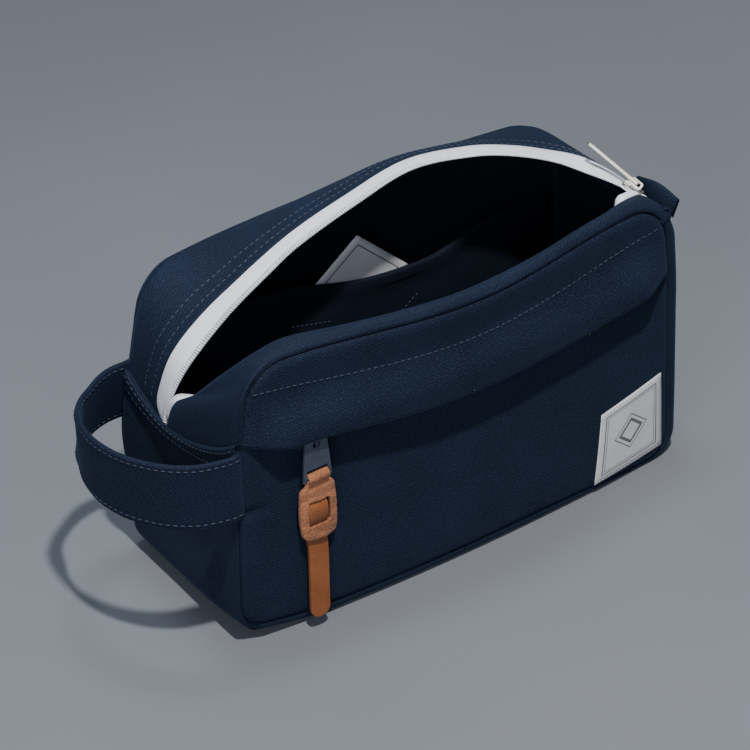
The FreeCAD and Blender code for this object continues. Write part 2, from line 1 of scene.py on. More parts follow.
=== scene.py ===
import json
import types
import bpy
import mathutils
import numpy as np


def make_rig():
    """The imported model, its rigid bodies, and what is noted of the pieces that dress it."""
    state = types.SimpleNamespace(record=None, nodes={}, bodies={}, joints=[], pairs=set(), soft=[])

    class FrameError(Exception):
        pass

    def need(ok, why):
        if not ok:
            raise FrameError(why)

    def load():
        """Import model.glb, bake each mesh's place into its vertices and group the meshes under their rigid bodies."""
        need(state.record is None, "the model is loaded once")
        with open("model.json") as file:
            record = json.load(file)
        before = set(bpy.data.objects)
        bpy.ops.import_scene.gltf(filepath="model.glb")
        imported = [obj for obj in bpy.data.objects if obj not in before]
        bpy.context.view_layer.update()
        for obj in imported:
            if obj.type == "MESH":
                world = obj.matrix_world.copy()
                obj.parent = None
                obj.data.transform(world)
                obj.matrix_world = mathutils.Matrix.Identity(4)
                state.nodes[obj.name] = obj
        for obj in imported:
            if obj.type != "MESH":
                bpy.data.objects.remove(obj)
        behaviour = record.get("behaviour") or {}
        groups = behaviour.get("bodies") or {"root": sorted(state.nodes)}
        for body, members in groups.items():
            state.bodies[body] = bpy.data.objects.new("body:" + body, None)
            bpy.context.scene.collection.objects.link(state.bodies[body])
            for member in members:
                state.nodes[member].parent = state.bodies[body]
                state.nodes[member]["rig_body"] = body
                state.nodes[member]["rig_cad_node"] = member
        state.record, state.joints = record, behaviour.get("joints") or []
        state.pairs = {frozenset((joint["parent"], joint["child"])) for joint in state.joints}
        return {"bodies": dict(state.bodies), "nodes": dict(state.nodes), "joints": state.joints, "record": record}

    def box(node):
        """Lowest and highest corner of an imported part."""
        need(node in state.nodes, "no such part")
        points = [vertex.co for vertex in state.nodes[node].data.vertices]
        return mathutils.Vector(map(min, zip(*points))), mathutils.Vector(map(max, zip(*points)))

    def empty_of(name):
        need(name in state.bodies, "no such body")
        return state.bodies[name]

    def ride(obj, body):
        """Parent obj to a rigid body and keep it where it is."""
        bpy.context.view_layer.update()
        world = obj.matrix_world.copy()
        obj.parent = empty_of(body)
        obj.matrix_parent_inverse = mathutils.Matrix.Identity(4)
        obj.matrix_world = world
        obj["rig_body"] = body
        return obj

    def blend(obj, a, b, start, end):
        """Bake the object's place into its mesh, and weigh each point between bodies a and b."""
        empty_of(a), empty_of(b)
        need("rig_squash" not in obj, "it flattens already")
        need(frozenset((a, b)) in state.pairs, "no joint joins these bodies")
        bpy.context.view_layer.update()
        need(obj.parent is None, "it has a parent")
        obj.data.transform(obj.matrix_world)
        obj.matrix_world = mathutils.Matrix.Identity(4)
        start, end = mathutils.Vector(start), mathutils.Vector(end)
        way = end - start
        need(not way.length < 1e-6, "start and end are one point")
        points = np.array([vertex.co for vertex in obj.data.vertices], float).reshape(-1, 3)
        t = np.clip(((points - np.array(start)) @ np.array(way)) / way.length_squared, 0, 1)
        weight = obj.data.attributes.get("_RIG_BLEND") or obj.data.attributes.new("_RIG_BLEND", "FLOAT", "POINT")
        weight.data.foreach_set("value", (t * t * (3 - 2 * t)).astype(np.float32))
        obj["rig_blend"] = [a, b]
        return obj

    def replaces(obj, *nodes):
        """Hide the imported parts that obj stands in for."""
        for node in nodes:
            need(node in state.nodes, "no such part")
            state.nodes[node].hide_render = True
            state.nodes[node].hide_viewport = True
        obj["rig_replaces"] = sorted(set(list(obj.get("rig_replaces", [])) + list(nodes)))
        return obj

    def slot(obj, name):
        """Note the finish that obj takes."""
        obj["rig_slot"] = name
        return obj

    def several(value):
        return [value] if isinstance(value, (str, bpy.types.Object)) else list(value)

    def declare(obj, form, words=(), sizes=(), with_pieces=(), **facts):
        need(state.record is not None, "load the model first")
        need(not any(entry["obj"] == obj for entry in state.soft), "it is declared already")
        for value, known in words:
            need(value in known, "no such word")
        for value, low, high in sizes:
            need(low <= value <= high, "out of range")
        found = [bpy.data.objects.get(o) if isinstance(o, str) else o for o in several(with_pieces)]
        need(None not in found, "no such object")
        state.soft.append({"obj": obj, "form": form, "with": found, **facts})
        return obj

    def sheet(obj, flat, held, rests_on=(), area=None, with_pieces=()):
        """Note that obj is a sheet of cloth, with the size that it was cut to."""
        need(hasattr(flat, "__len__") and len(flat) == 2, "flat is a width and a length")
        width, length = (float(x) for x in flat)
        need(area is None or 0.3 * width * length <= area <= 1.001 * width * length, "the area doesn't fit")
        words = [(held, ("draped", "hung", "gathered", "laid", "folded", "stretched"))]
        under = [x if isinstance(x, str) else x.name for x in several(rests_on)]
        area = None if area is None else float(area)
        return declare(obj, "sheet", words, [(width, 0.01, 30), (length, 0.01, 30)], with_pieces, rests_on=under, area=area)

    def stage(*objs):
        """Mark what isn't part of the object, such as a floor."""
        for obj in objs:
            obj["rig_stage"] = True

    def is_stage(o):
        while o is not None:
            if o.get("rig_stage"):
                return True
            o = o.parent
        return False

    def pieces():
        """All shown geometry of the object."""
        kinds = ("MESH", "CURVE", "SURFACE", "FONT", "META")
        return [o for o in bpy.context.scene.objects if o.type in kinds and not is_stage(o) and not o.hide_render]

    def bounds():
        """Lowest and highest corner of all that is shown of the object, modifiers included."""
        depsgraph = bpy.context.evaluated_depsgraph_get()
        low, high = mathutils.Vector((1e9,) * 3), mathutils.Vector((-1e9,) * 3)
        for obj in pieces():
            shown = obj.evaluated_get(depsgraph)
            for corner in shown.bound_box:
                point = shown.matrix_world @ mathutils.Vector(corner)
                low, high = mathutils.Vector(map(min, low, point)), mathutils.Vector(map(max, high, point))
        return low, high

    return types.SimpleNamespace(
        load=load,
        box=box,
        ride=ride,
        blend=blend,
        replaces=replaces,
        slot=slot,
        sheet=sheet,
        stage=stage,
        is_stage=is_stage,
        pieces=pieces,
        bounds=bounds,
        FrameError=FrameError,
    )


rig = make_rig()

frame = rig.load()
FRAME_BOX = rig.bounds()

import json
import math
import bmesh
import bpy
import numpy as np
from mathutils import Matrix, Vector, noise
from mathutils.kdtree import KDTree

# A soft zip-top wash bag. Lengths here are in millimetres, and become metres where meshes are made, except
# where a comment says metres. +X runs along the bag to its slider end, +Y to the back, +Z up. The cloth
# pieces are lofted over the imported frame's outline: every piece is a grid of points, with its cloth
# coordinates kept as UVs in metres.

MM = 0.001


def box_mm(node):
    """A frame node's low and high corners, in millimetres."""
    low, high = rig.box(node)
    return low / MM, high / MM


# Sizes read from the frame
HALF_LENGTH = box_mm("base_gusset")[1].x
HALF_DEPTH = box_mm("base_gusset")[1].y
HEIGHT = box_mm("rear_lip_left_end")[1].z
JOIN_LEFT = box_mm("rear_lip_left_end")[0].z
JOIN_RIGHT = box_mm("rear_lip_right_end")[0].z
FLAP_LOW = box_mm("pocket_flap")[0].z
PULL_X = (box_mm("pocket_pull_tab")[0].x + box_mm("pocket_pull_tab")[1].x) / 2
HANDLE_LOW = box_mm("handle_strap")[0].z
HANDLE_HIGH = box_mm("handle_strap")[1].z
CLOTH = 1.3
UP = Vector((0, 0, 1))
FORWARD = Vector((0, -1, 0))

# Side views of the shell: left, right, low and high edges, and the radii of its low and high corners
LEFT, RIGHT = -HALF_LENGTH - 1.8, HALF_LENGTH + 4.6
OUTLINE = (LEFT, RIGHT, 0.0, HEIGHT, 13.0, 24.0)
SEAM = (LEFT + 1.6, RIGHT - 7.4, 2.0, HEIGHT - 1.2, 11.0, 20.0)
INNER = (LEFT + 3.2, RIGHT - 3.2, 2.6, HEIGHT - 3.2, 10.0, 20.0)
SEAM_DEPTH = HALF_DEPTH - 2.4
SEAM_TOP = 139.0

# How far the faces bulge at their middles, how far the front's top edge sags, and how far the flap's lower
# edge rises towards its two ends
FRONT_BOW = 10.0
BASE_BOW = 5.6
BACK_BOW = 9.0
FRONT_DROOP = 3.0
FLAP_RISE = 8.0


# ---- small maths ----

def smooth(t):
    """A soft step from 0 to 1 as t goes from 0 to 1."""
    t = max(0.0, min(1.0, t))
    return t * t * (3 - 2 * t)


def mix(a, b, t):
    return a + (b - a) * t


def through(stations, u):
    """The point at u on a smooth line through stations, a list of (u, (x, y, z))."""
    us = [s[0] for s in stations]
    ps = [Vector(s[1]) for s in stations]
    i = max(0, min(len(us) - 2, sum(1 for v in us if v <= u) - 1))
    h = us[i + 1] - us[i]
    t = max(0.0, min(1.0, (u - us[i]) / h))

    def slope(k):
        if k == 0 or k == len(us) - 1:
            j = min(k, len(us) - 2)
            return (ps[j + 1] - ps[j]) / (us[j + 1] - us[j])
        return (ps[k + 1] - ps[k - 1]) / (us[k + 1] - us[k - 1])

    t2, t3 = t * t, t * t * t
    return (ps[i] * (2 * t3 - 3 * t2 + 1) + slope(i) * h * (t3 - 2 * t2 + t)
            + ps[i + 1] * (3 * t2 - 2 * t3) + slope(i + 1) * h * (t3 - t2))


def level(stations, x):
    """The height at x of a smooth line through stations, a list of (x, height)."""
    return through([(place, (height, 0, 0)) for place, height in stations], x).x


def length_of(line):
    return sum((b - a).length for a, b in zip(line, line[1:]))


def tangents(line):
    """The direction of a line at each of its points."""
    last = len(line) - 1
    return [(line[min(i + 1, last)] - line[max(i - 1, 0)]).normalized() for i in range(last + 1)]


def along(points, count):
    """count points spread evenly by length over a smooth line through points."""
    n = len(points)
    fine = [through([(k / (n - 1), p) for k, p in enumerate(points)], i / 400) for i in range(401)]
    gone = [0.0]
    for a, b in zip(fine, fine[1:]):
        gone.append(gone[-1] + (b - a).length)
    out, k = [], 0
    for i in range(count):
        want = gone[-1] * i / (count - 1)
        while k < 399 and gone[k + 1] < want:
            k += 1
        t = (want - gone[k]) / max(gone[k + 1] - gone[k], 1e-9)
        out.append(fine[k].lerp(fine[k + 1], t))
    return out


# ---- the bag's outline ----

def ring(q, shape):
    """Point and outward normal, as (x, z) pairs, on a rounded rectangle. q counts its sides and corners from
    the left join: 0-1 down the left side, 2-3 the base, 4-5 up the right, 6-7 back over the top, 8-9 down."""
    left, right, low, high, r, big = shape
    k = min(int(q), 8)
    t = q - k
    corners = {1: (left + r, low + r, 180, r), 3: (right - r, low + r, 270, r),
               5: (right - big, high - big, 0, big), 7: (left + big, high - big, 90, big)}
    if k in corners:
        cx, cz, start, radius = corners[k]
        a = math.radians(start + 90 * t)
        n = (math.cos(a), math.sin(a))
        return (cx + radius * n[0], cz + radius * n[1]), n
    ends = {0: ((left, JOIN_LEFT), (left, low + r), (-1, 0)),
            2: ((left + r, low), (right - r, low), (0, -1)),
            4: ((right, low + r), (right, high - big), (1, 0)),
            6: ((right - big, high), (left + big, high), (0, 1)),
            8: ((left, high - big), (left, JOIN_LEFT), (-1, 0))}
    a, b, n = ends[k]
    return (mix(a[0], b[0], t), mix(a[1], b[1], t)), n


RIGHT_Q = 5 + math.degrees(math.asin((JOIN_RIGHT - HEIGHT + OUTLINE[5]) / OUTLINE[5])) / 90


def top_q(u, join):
    """The outline's q at the share u of the way over the top, from the height `join` on the left."""
    left, right, low, high, r, big = OUTLINE
    first = 9 - (join - JOIN_LEFT) / (high - big - JOIN_LEFT)
    stops = [(first, 0.0), (8.0, high - big - join), (7.0, big * math.pi / 2), (6.0, right - left - 2 * big),
             (RIGHT_Q, big * math.pi / 2 * (6 - RIGHT_Q))]
    want = u * sum(length for q, length in stops)
    for (q0, _), (q1, length) in zip(stops, stops[1:]):
        if want <= length or q1 == RIGHT_Q:
            return mix(q0, q1, min(1.0, want / length))
        want -= length


def lean(x, y, z):
    """How far the two ends shift: they spread out towards the base and draw in towards the top, and the left
    end's back edge bulges half way up."""
    near_end = smooth((abs(x) - 60) / 50)
    if x < 0:
        draw_in = mix(4.0, 7.2, smooth((y + HALF_DEPTH) / (2 * HALF_DEPTH)))
        bulge = 3.8 * math.exp(-((z - 66) / 23) ** 2) * smooth((y - 5) / 30)
        return near_end * (draw_in * smooth((z - 90) / 34) - 3.2 * smooth((97 - z) / 75) - bulge)
    return near_end * (0.8 * smooth((97 - z) / 75) - 2.0 * smooth((z - 88) / 40))


# The left end's top edge, as (y, rise)
DIP = [(-47, 9.0), (-33, 0.0), (-17, -7.5), (-2, -12.0), (14, -13.5), (32, -8.0), (45, 0.0)]


def dip(y):
    """How far the left end's top edge rises or sinks from the join's height, across the bag."""
    return level(DIP, y)


def waist(x):
    """1 in the middle of the bag, falling away to nothing at its ends."""
    return math.cos(math.pi * x / 200) ** 2 if abs(x) < 100 else 0.0


def front_bow(x, z):
    """The front bulges twice: along its slack top edge, and low down where the bag stands on it."""
    low = BASE_BOW * max(0.0, 1 - (x / 115) ** 2) * (1 - smooth(z / 80))
    return FRONT_BOW * waist(x) * (max(z, 0) / SEAM_TOP) ** 2.4 + low


def front_droop(x, z):
    """How far the front sags, most of all in the middle of its top edge."""
    return FRONT_DROOP * waist(x) * (max(z, 0) / SEAM_TOP) ** 5


def back_bow(x, z):
    """How far the back bulges, more towards its top."""
    return BACK_BOW * (1 - min(1.0, abs(x) / HALF_LENGTH) ** 2) * z / HEIGHT


def at_front(x, out, z):
    """A point `out` from the mid-plane on the bag's front, with the face's bow and its sag at the top."""
    return Vector((x + lean(x, -out, z), -out - front_bow(x, z), z - front_droop(x, z)))


def at_back(x, out, z):
    return Vector((x + lean(x, out, z), out + back_bow(x, z), z))


# How far the front's lower seam rides up, as (x, rise)
LIFT = [(-118, 9.4), (-104, 7.6), (-88, 5.2), (-50, 4.2), (0, 3.8), (40, 3.6), (72, 2.0), (100, 0.4),
        (118, 0)]


def base_lift(x, z):
    """The front's lower seam rides up off the floor, most of all at the left corner."""
    return level(LIFT, x) * max(0.0, 1 - z / 38)


def ripple(p, size, height, seed):
    """Soft unevenness: up to about `height`, over lengths of about `size`."""
    return height * noise.noise(Vector((p[0] / size + seed, p[1] / size, p[2] / size)))


# ---- meshes ----

def make_object(name, verts, faces, uvs, material, smooth_shade=True):
    """An object from points and cloth coordinates in millimetres."""
    mesh = bpy.data.meshes.new(name)
    mesh.from_pydata([tuple(Vector(v) * MM) for v in verts], [], faces)
    if uvs is not None:
        layer = mesh.uv_layers.new(name="UVMap")
        values = np.array([[uvs[mesh.loops[i].vertex_index][0] * MM, uvs[mesh.loops[i].vertex_index][1] * MM]
                           for i in range(len(mesh.loops))], dtype=np.float32)
        layer.data.foreach_set("uv", values.ravel())
    mesh.materials.append(material)
    mesh.validate()
    obj = bpy.data.objects.new(name, mesh)
    bpy.context.scene.collection.objects.link(obj)
    if smooth_shade:
        mesh.polygons.foreach_set("use_smooth", [True] * len(mesh.polygons))
    return obj


def apply_modifiers(obj):
    graph = bpy.context.evaluated_depsgraph_get()
    done = bpy.data.meshes.new_from_object(obj.evaluated_get(graph), depsgraph=graph)
    obj.modifiers.clear()
    obj.data = done
    return obj


def cloth_grid(name, rows, material, thick=CLOTH, closed=False, uv=None, offset=-1.0, rounds=0):
    """A sheet of cloth through rows of points, with its thickness added behind its outer face."""
    wide = len(rows[0])
    verts = [p for row in rows for p in row]
    if uv is None:
        uv, v = [], 0.0
        for j, row in enumerate(rows):
            if j:
                v += sum((a - b).length for a, b in zip(row, rows[j - 1])) / wide
            u = 0.0
            for i, p in enumerate(row):
                if i:
                    u += (p - row[i - 1]).length
                uv.append((u, v))
    faces = []
    for j in range(len(rows) - 1):
        for i in range(wide - (0 if closed else 1)):
            k = (i + 1) % wide
            faces.append((j * wide + i, j * wide + k, (j + 1) * wide + k, (j + 1) * wide + i))
    obj = make_object(name, verts, faces, uv, material)
    if rounds:
        obj.modifiers.new("soften", "SUBSURF").levels = rounds
    if thick:
        solid = obj.modifiers.new("thickness", "SOLIDIFY")
        solid.thickness = thick * MM
        solid.offset = offset
        solid.use_even_offset = False
        solid.use_rim = True
    if rounds or thick:
        apply_modifiers(obj)
        obj.data.polygons.foreach_set("use_smooth", [True] * len(obj.data.polygons))
    return obj


def bead_row(name, line, material, pitch, first, frame_at, loops, sides):
    """A small rounded bead at each step of pitch along line, as one mesh. loops are (place, width) pairs
    along a bead. frame_at(k, t, tangent) gives its axis, its two half widths as directions and its offset."""
    verts, faces = [], []
    gone, placed = 0.0, first
    for k, (a, b) in enumerate(zip(line, line[1:])):
        step = (b - a).length
        while placed <= gone + step:
            t = (placed - gone) / max(step, 1e-9)
            axis, wide, tall, offset = frame_at(k, t, (b - a).normalized())
            centre = a.lerp(b, t) + offset
            base = len(verts)
            for s, w in loops:
                for m in range(sides):
                    a_out, b_out = (f(2 * math.pi * m / sides) * w for f in (math.cos, math.sin))
                    verts.append(centre + axis * s + wide * a_out + tall * b_out)
            for r in range(len(loops) - 1):
                low, high = base + r * sides, base + (r + 1) * sides
                for m in range(sides):
                    after = (m + 1) % sides
                    faces.append((low + m, low + after, high + after, high + m))
            faces.append(tuple(base + m for m in reversed(range(sides))))
            faces.append(tuple(base + (len(loops) - 1) * sides + m for m in range(sides)))
            placed += pitch
        gone += step
    return make_object(name, verts, faces, None, material)


# Rounded shapes: a stitch's as (share of its length, share of its width), and a tooth's as (place along it,
# share of its width)
STITCH_LOOPS = ((-0.5, 0.25), (-0.36, 0.85), (0.0, 1.0), (0.36, 0.85), (0.5, 0.25))
TOOTH_LOOPS = ((-1.3, 0.75), (-0.5, 1.0), (0.4, 1.0), (0.9, 0.8), (1.2, 0.35))


def stitches(name, line, out, material, pitch=3.2, length=2.3, fat=0.34, raise_by=0.05):
    """A row of stitches along line, a list of points. out gives the cloth's outward direction at each."""
    def lay(k, t, tangent):
        n = out[k].lerp(out[k + 1], t).normalized()
        return tangent * length, tangent.cross(n).normalized() * fat, n * (fat * 0.8), n * raise_by

    return bead_row(name, line, material, pitch, 0.0, lay, STITCH_LOOPS, 6)


def coil_teeth(name, line, across, out, material):
    """The teeth of one coil: a flattened loop of nylon at each step along line, reaching across the gap."""
    def lay(k, t, tangent):
        n = out[k].lerp(out[k + 1], t).normalized()
        return across[k].lerp(across[k + 1], t).normalized(), tangent * 0.42, n * 0.7, Vector()

    return bead_row(name, line, material, 1.27, 0.4, lay, TOOTH_LOOPS, 8)


def grid_normals(rows):
    """Outward directions of a grid of points, by its rows and columns."""
    normals = []
    for j, row in enumerate(rows):
        up = rows[min(j + 1, len(rows) - 1)]
        down = rows[max(j - 1, 0)]
        out = []
        for i in range(len(row)):
            du = row[min(i + 1, len(row) - 1)] - row[max(i - 1, 0)]
            dv = up[i] - down[i]
            out.append(du.cross(dv).normalized())
        normals.append(out)
    return normals


# ---- materials ----

class Graph:
    """Short calls for building a material's nodes."""

    def __init__(self, name):
        self.material = bpy.data.materials.new(name)
        self.material.use_nodes = True
        self.tree = self.material.node_tree
        self.shader = self.tree.nodes["Principled BSDF"]

    def node(self, kind, **values):
        made = self.tree.nodes.new(kind)
        for key, value in values.items():
            setattr(made, key, value)
        return made

    def put(self, socket, value):
        if isinstance(value, bpy.types.NodeSocket):
            self.tree.links.new(value, socket)
        else:
            socket.default_value = value

    def maths(self, operation, *values):
        made = self.node("ShaderNodeMath", operation=operation)
        for socket, value in zip(made.inputs, values):
            self.put(socket, value)
        return made.outputs[0]

    def times(self, a, b):
        return self.maths("MULTIPLY", a, b)

    def times_add(self, a, b, c):
        return self.maths("MULTIPLY_ADD", a, b, c)

    def wave(self, value):
        """A sine between 0 and 1."""
        return self.times_add(self.maths("SINE", value), 0.5, 0.5)

    def band(self, value, place, half):
        """1 where value is within half of place."""
        gap = self.maths("ABSOLUTE", self.maths("SUBTRACT", value, place))
        return self.maths("LESS_THAN", gap, half)

    def noise(self, where, scale, detail=2.0, roughness=0.5):
        made = self.node("ShaderNodeTexNoise")
        self.put(made.inputs["Vector"], where)
        made.inputs["Scale"].default_value = scale
        made.inputs["Detail"].default_value = detail
        made.inputs["Roughness"].default_value = roughness
        return made.outputs["Fac"]

    def ramp(self, value, low, dark, high, light):
        made = self.node("ShaderNodeValToRGB")
        self.put(made.inputs[0], value)
        for element, place, colour in zip(made.color_ramp.elements, (low, high), (dark, light)):
            element.position = place
            element.color = (*colour, 1)
        return made.outputs[0]

    def blend(self, share, a, b):
        made = self.node("ShaderNodeMix", data_type="RGBA")
        self.put(made.inputs["Factor"], share)
        self.put(made.inputs[6], a if isinstance(a, bpy.types.NodeSocket) else (*a, 1))
        self.put(made.inputs[7], b if isinstance(b, bpy.types.NodeSocket) else (*b, 1))
        return made.outputs[2]

    def look(self, colour, roughness, **fixed):
        """The shader's colour and roughness, and values that are the same all over, named as its sockets."""
        self.put(self.shader.inputs["Base Color"], colour)
        self.put(self.shader.inputs["Roughness"], roughness)
        for name, value in fixed.items():
            self.shader.inputs[name.replace("_", " ")].default_value = value

    def bump(self, height, strength, distance):
        made = self.node("ShaderNodeBump")
        made.inputs["Strength"].default_value = strength
        made.inputs["Distance"].default_value = distance * MM
        self.put(made.inputs["Height"], height)
        self.put(self.shader.inputs["Normal"], made.outputs[0])

    def cloth_xy(self):
        """The cloth coordinates, whole and as x and y."""
        uv = self.node("ShaderNodeTexCoord").outputs["UV"]
        split = self.node("ShaderNodeSeparateXYZ")
        self.put(split.inputs[0], uv)
        return uv, split.outputs[0], split.outputs[1]

    def place(self):
        return self.node("ShaderNodeTexCoord").outputs["Object"]


def tinted(colour, share):
    return tuple(c * share for c in colour)


def twill(name, dark, light, pitch=1.0, depth=0.12, shine=0.35):
    """Woven twill: fine slanted ribs with thread breaks across them, uneven colour, and a soft sheen."""
    g = Graph(name)
    uv, x, y = g.cloth_xy()
    turn = 2 * math.pi / (pitch * MM)
    wander = g.times(g.noise(uv, 90.0), 1.6)
    rib = g.wave(g.times_add(g.maths("ADD", g.times(x, 0.62), y), turn, wander))
    cross = g.maths("SINE", g.times(g.maths("SUBTRACT", x, g.times(y, 0.55)), turn * 1.3))
    weave = g.times(rib, g.times_add(cross, 0.36, 0.64))
    patch = g.noise(uv, 28.0, 3.0, 0.6)
    fleck = g.noise(uv, 1400.0, 2.0, 0.7)
    share = g.times_add(weave, 0.6, g.times(g.maths("ADD", patch, fleck), 0.28))
    dyed = g.ramp(share, 0.24, dark, 0.72, light)
    pale = g.times(g.maths("GREATER_THAN", fleck, 0.6), 0.45)
    g.look(g.blend(pale, dyed, tinted(light, 2.2)), g.times_add(patch, 0.23, 0.62), Sheen_Weight=shine,
           Sheen_Roughness=0.45, Sheen_Tint=(0.35, 0.55, 1.0, 1), Specular_IOR_Level=0.12)
    g.bump(g.times_add(fleck, 0.25, weave), 0.55, depth)
    return g.material


def knit(name, dark, light, pitch=0.7):
    """Knitted zip tape: faint lengthwise wales and a soft matt surface."""
    g = Graph(name)
    uv, x, y = g.cloth_xy()
    turn = 2 * math.pi / (pitch * MM)
    wale = g.wave(g.times(y, turn))
    course = g.wave(g.times(x, turn * 1.2))
    yarn = g.times_add(course, 0.35, g.times(wale, 0.65))
    soil = g.noise(uv, 60.0, 4.0, 0.6)
    share = g.times_add(yarn, 0.5, g.times(soil, 0.5))
    g.look(g.ramp(share, 0.1, dark, 0.8, light), g.times_add(soil, 0.2, 0.7), Specular_IOR_Level=0.25)
    g.bump(yarn, 0.35, 0.08)
    return g.material


def thread(name, colour):
    """Sewing thread: twisted plies with a slight sheen."""
    g = Graph(name)
    where = g.place()
    ply = g.noise(where, 2600.0, 1.0)
    long = g.noise(where, 140.0, 2.0)
    share = g.times_add(ply, 0.5, g.times(long, 0.5))
    g.look(g.blend(share, tinted(colour, 0.55), tinted(colour, 1.35)), g.times_add(ply, 0.25, 0.45))
    g.bump(ply, 0.4, 0.06)
    return g.material


def plastic(name, dark, light):
    """Nylon with faint clouds and a fine grain."""
    g = Graph(name)
    where = g.place()
    cloud = g.noise(where, 220.0, 3.0)
    g.look(g.ramp(cloud, 0.3, dark, 0.7, light), g.times_add(cloud, 0.2, 0.32))
    g.bump(g.noise(where, 1500.0), 0.15, 0.05)
    return g.material


def metal(name, colour):
    """Plated zip metal with fine polishing lines and dulled patches."""
    g = Graph(name)
    where = g.place()
    stretch = g.node("ShaderNodeMapping")
    g.put(stretch.inputs["Vector"], where)
    stretch.inputs["Scale"].default_value = (1.0, 7.0, 7.0)
    line = g.noise(stretch.outputs[0], 700.0, 3.0)
    dull = g.noise(where, 160.0, 3.0, 0.6)
    g.look(g.ramp(dull, 0.3, tinted(colour, 0.78), 0.75, colour), g.times_add(dull, 0.22, 0.22), Metallic=1.0)
    g.bump(line, 0.12, 0.05)
    return g.material


def coated(name, dark, light):
    """Satin coating over cast metal, with a fine orange peel and slightly rubbed patches."""
    g = Graph(name)
    where = g.place()
    rub = g.noise(where, 110.0, 4.0, 0.6)
    g.look(g.ramp(rub, 0.3, dark, 0.75, light), g.times_add(rub, 0.2, 0.38))
    g.bump(g.noise(where, 900.0, 2.0), 0.2, 0.06)
    return g.material


def leather(name, dark, light, rough, pore, depth, fibre=0.0):
    """Leather: cloudy tan with pores; fibre raises a suede nap on the flesh side."""
    g = Graph(name)
    where = g.place()
    cloud = g.noise(where, 70.0, 4.0, 0.6)
    fine = g.noise(where, pore, 4.0, 0.7)
    cells = g.node("ShaderNodeTexVoronoi")
    g.put(cells.inputs["Vector"], where)
    cells.inputs["Scale"].default_value = pore * 0.8
    shade = g.times_add(cloud, 0.55, g.times(fine, 0.45 + fibre))
    g.look(g.ramp(shade, 0.25, dark, 0.8, light), g.times_add(fine, 0.2, rough - 0.1),
           Specular_IOR_Level=0.35, Sheen_Weight=fibre)
    g.bump(g.times_add(fine, 0.7, g.times(cells.outputs["Distance"], 0.5)), 0.6, depth)
    return g.material


def woven_label(name, cloth, size, borders, diamonds=()):
    """A woven label with its border lines and plain diamonds, each given as (place, half width). Its cloth
    coordinates run from 0 at one corner."""
    g = Graph(name)
    uv, u, v = g.cloth_xy()
    x, y = g.times(u, 1 / MM), g.times(v, 1 / MM)
    from_x = g.maths("MINIMUM", x, g.maths("SUBTRACT", size[0], x))
    from_y = g.maths("MINIMUM", y, g.maths("SUBTRACT", size[1], y))
    off_x = g.maths("ABSOLUTE", g.maths("SUBTRACT", x, size[0] / 2))
    off_y = g.maths("ABSOLUTE", g.maths("SUBTRACT", y, size[1] / 2))
    inside, diamond = g.maths("MINIMUM", from_x, from_y), g.maths("ADD", off_x, off_y)
    lines = [g.band(inside, *line) for line in borders] + [g.band(diamond, *line) for line in diamonds]
    mark = lines[0]
    for line in lines[1:]:
        mark = g.maths("MAXIMUM", mark, line)
    warp, weft = (g.maths("SINE", g.times(way, 2 * math.pi / gap)) for way, gap in ((x, 0.42), (y, 0.5)))
    weave = g.times_add(g.times(warp, weft), 0.5, 0.5)
    soil = g.noise(uv, 120.0, 4.0, 0.6)
    plain = g.ramp(g.times_add(weave, 0.4, g.times(soil, 0.6)), 0.15, tinted(cloth, 0.72), 0.8, cloth)
    g.look(g.blend(g.times(mark, 0.85), plain, INK), g.times_add(soil, 0.2, 0.68))
    g.bump(weave, 0.4, 0.07)
    return g.material


def plain_floor():
    """A matt floor with a faint grain."""
    g = Graph("floor_paper")
    where = g.place()
    grain = g.noise(where, 900.0, 3.0)
    g.look(g.ramp(g.noise(where, 3.0, 3.0), 0.3, (0.150, 0.162, 0.184), 0.7, (0.168, 0.180, 0.202)),
           g.times_add(grain, 0.1, 0.75))
    g.bump(grain, 0.1, 0.1)
    return g.material


NAVY = twill("navy_twill", (0.0009, 0.0018, 0.0050), (0.0130, 0.0235, 0.050), shine=0.06)
LINING = twill("navy_lining", (0.0020, 0.0030, 0.0064), (0.0090, 0.0130, 0.024), 0.7, 0.06, shine=0.03)
WHITE_TAPE = knit("white_tape", (0.62, 0.63, 0.69), (0.86, 0.87, 0.93))
NAVY_TAPE = knit("navy_tape", (0.005, 0.008, 0.016), (0.02, 0.028, 0.05))
WHITE_COIL = plastic("white_coil", (0.6, 0.61, 0.66), (0.8, 0.81, 0.85))
NAVY_COIL = plastic("navy_coil", (0.008, 0.012, 0.022), (0.02, 0.028, 0.045))
THREAD = thread("navy_thread", (0.022, 0.034, 0.062))
LABEL_THREAD = thread("label_thread", (0.5, 0.5, 0.52))
ZIP_METAL = metal("zip_metal", (0.78, 0.72, 0.62))
COATED = coated("coated_metal", (0.030, 0.038, 0.062), (0.055, 0.066, 0.098))
GRAIN = leather("leather_grain", (0.17, 0.050, 0.016), (0.34, 0.122, 0.043), 0.5, 900.0, 0.12)
SUEDE = leather("leather_suede", (0.04, 0.010, 0.003), (0.56, 0.215, 0.095), 0.9, 1100.0, 0.6, fibre=0.12)
INK = (0.03, 0.035, 0.05)
FRONT_LABEL, INNER_LABEL = (36.5, 38.0), (32.0, 30.0)
LABEL = woven_label("label_weave", (0.66, 0.66, 0.67), FRONT_LABEL, ((3.4, 0.28), (4.6, 0.16)),
                    ((9.0, 0.35), (6.0, 0.9)))
INSIDE_LABEL = woven_label("inside_label_weave", (0.7, 0.7, 0.74), INNER_LABEL, ((3.6, 0.3),))


# ---- the two faces ----

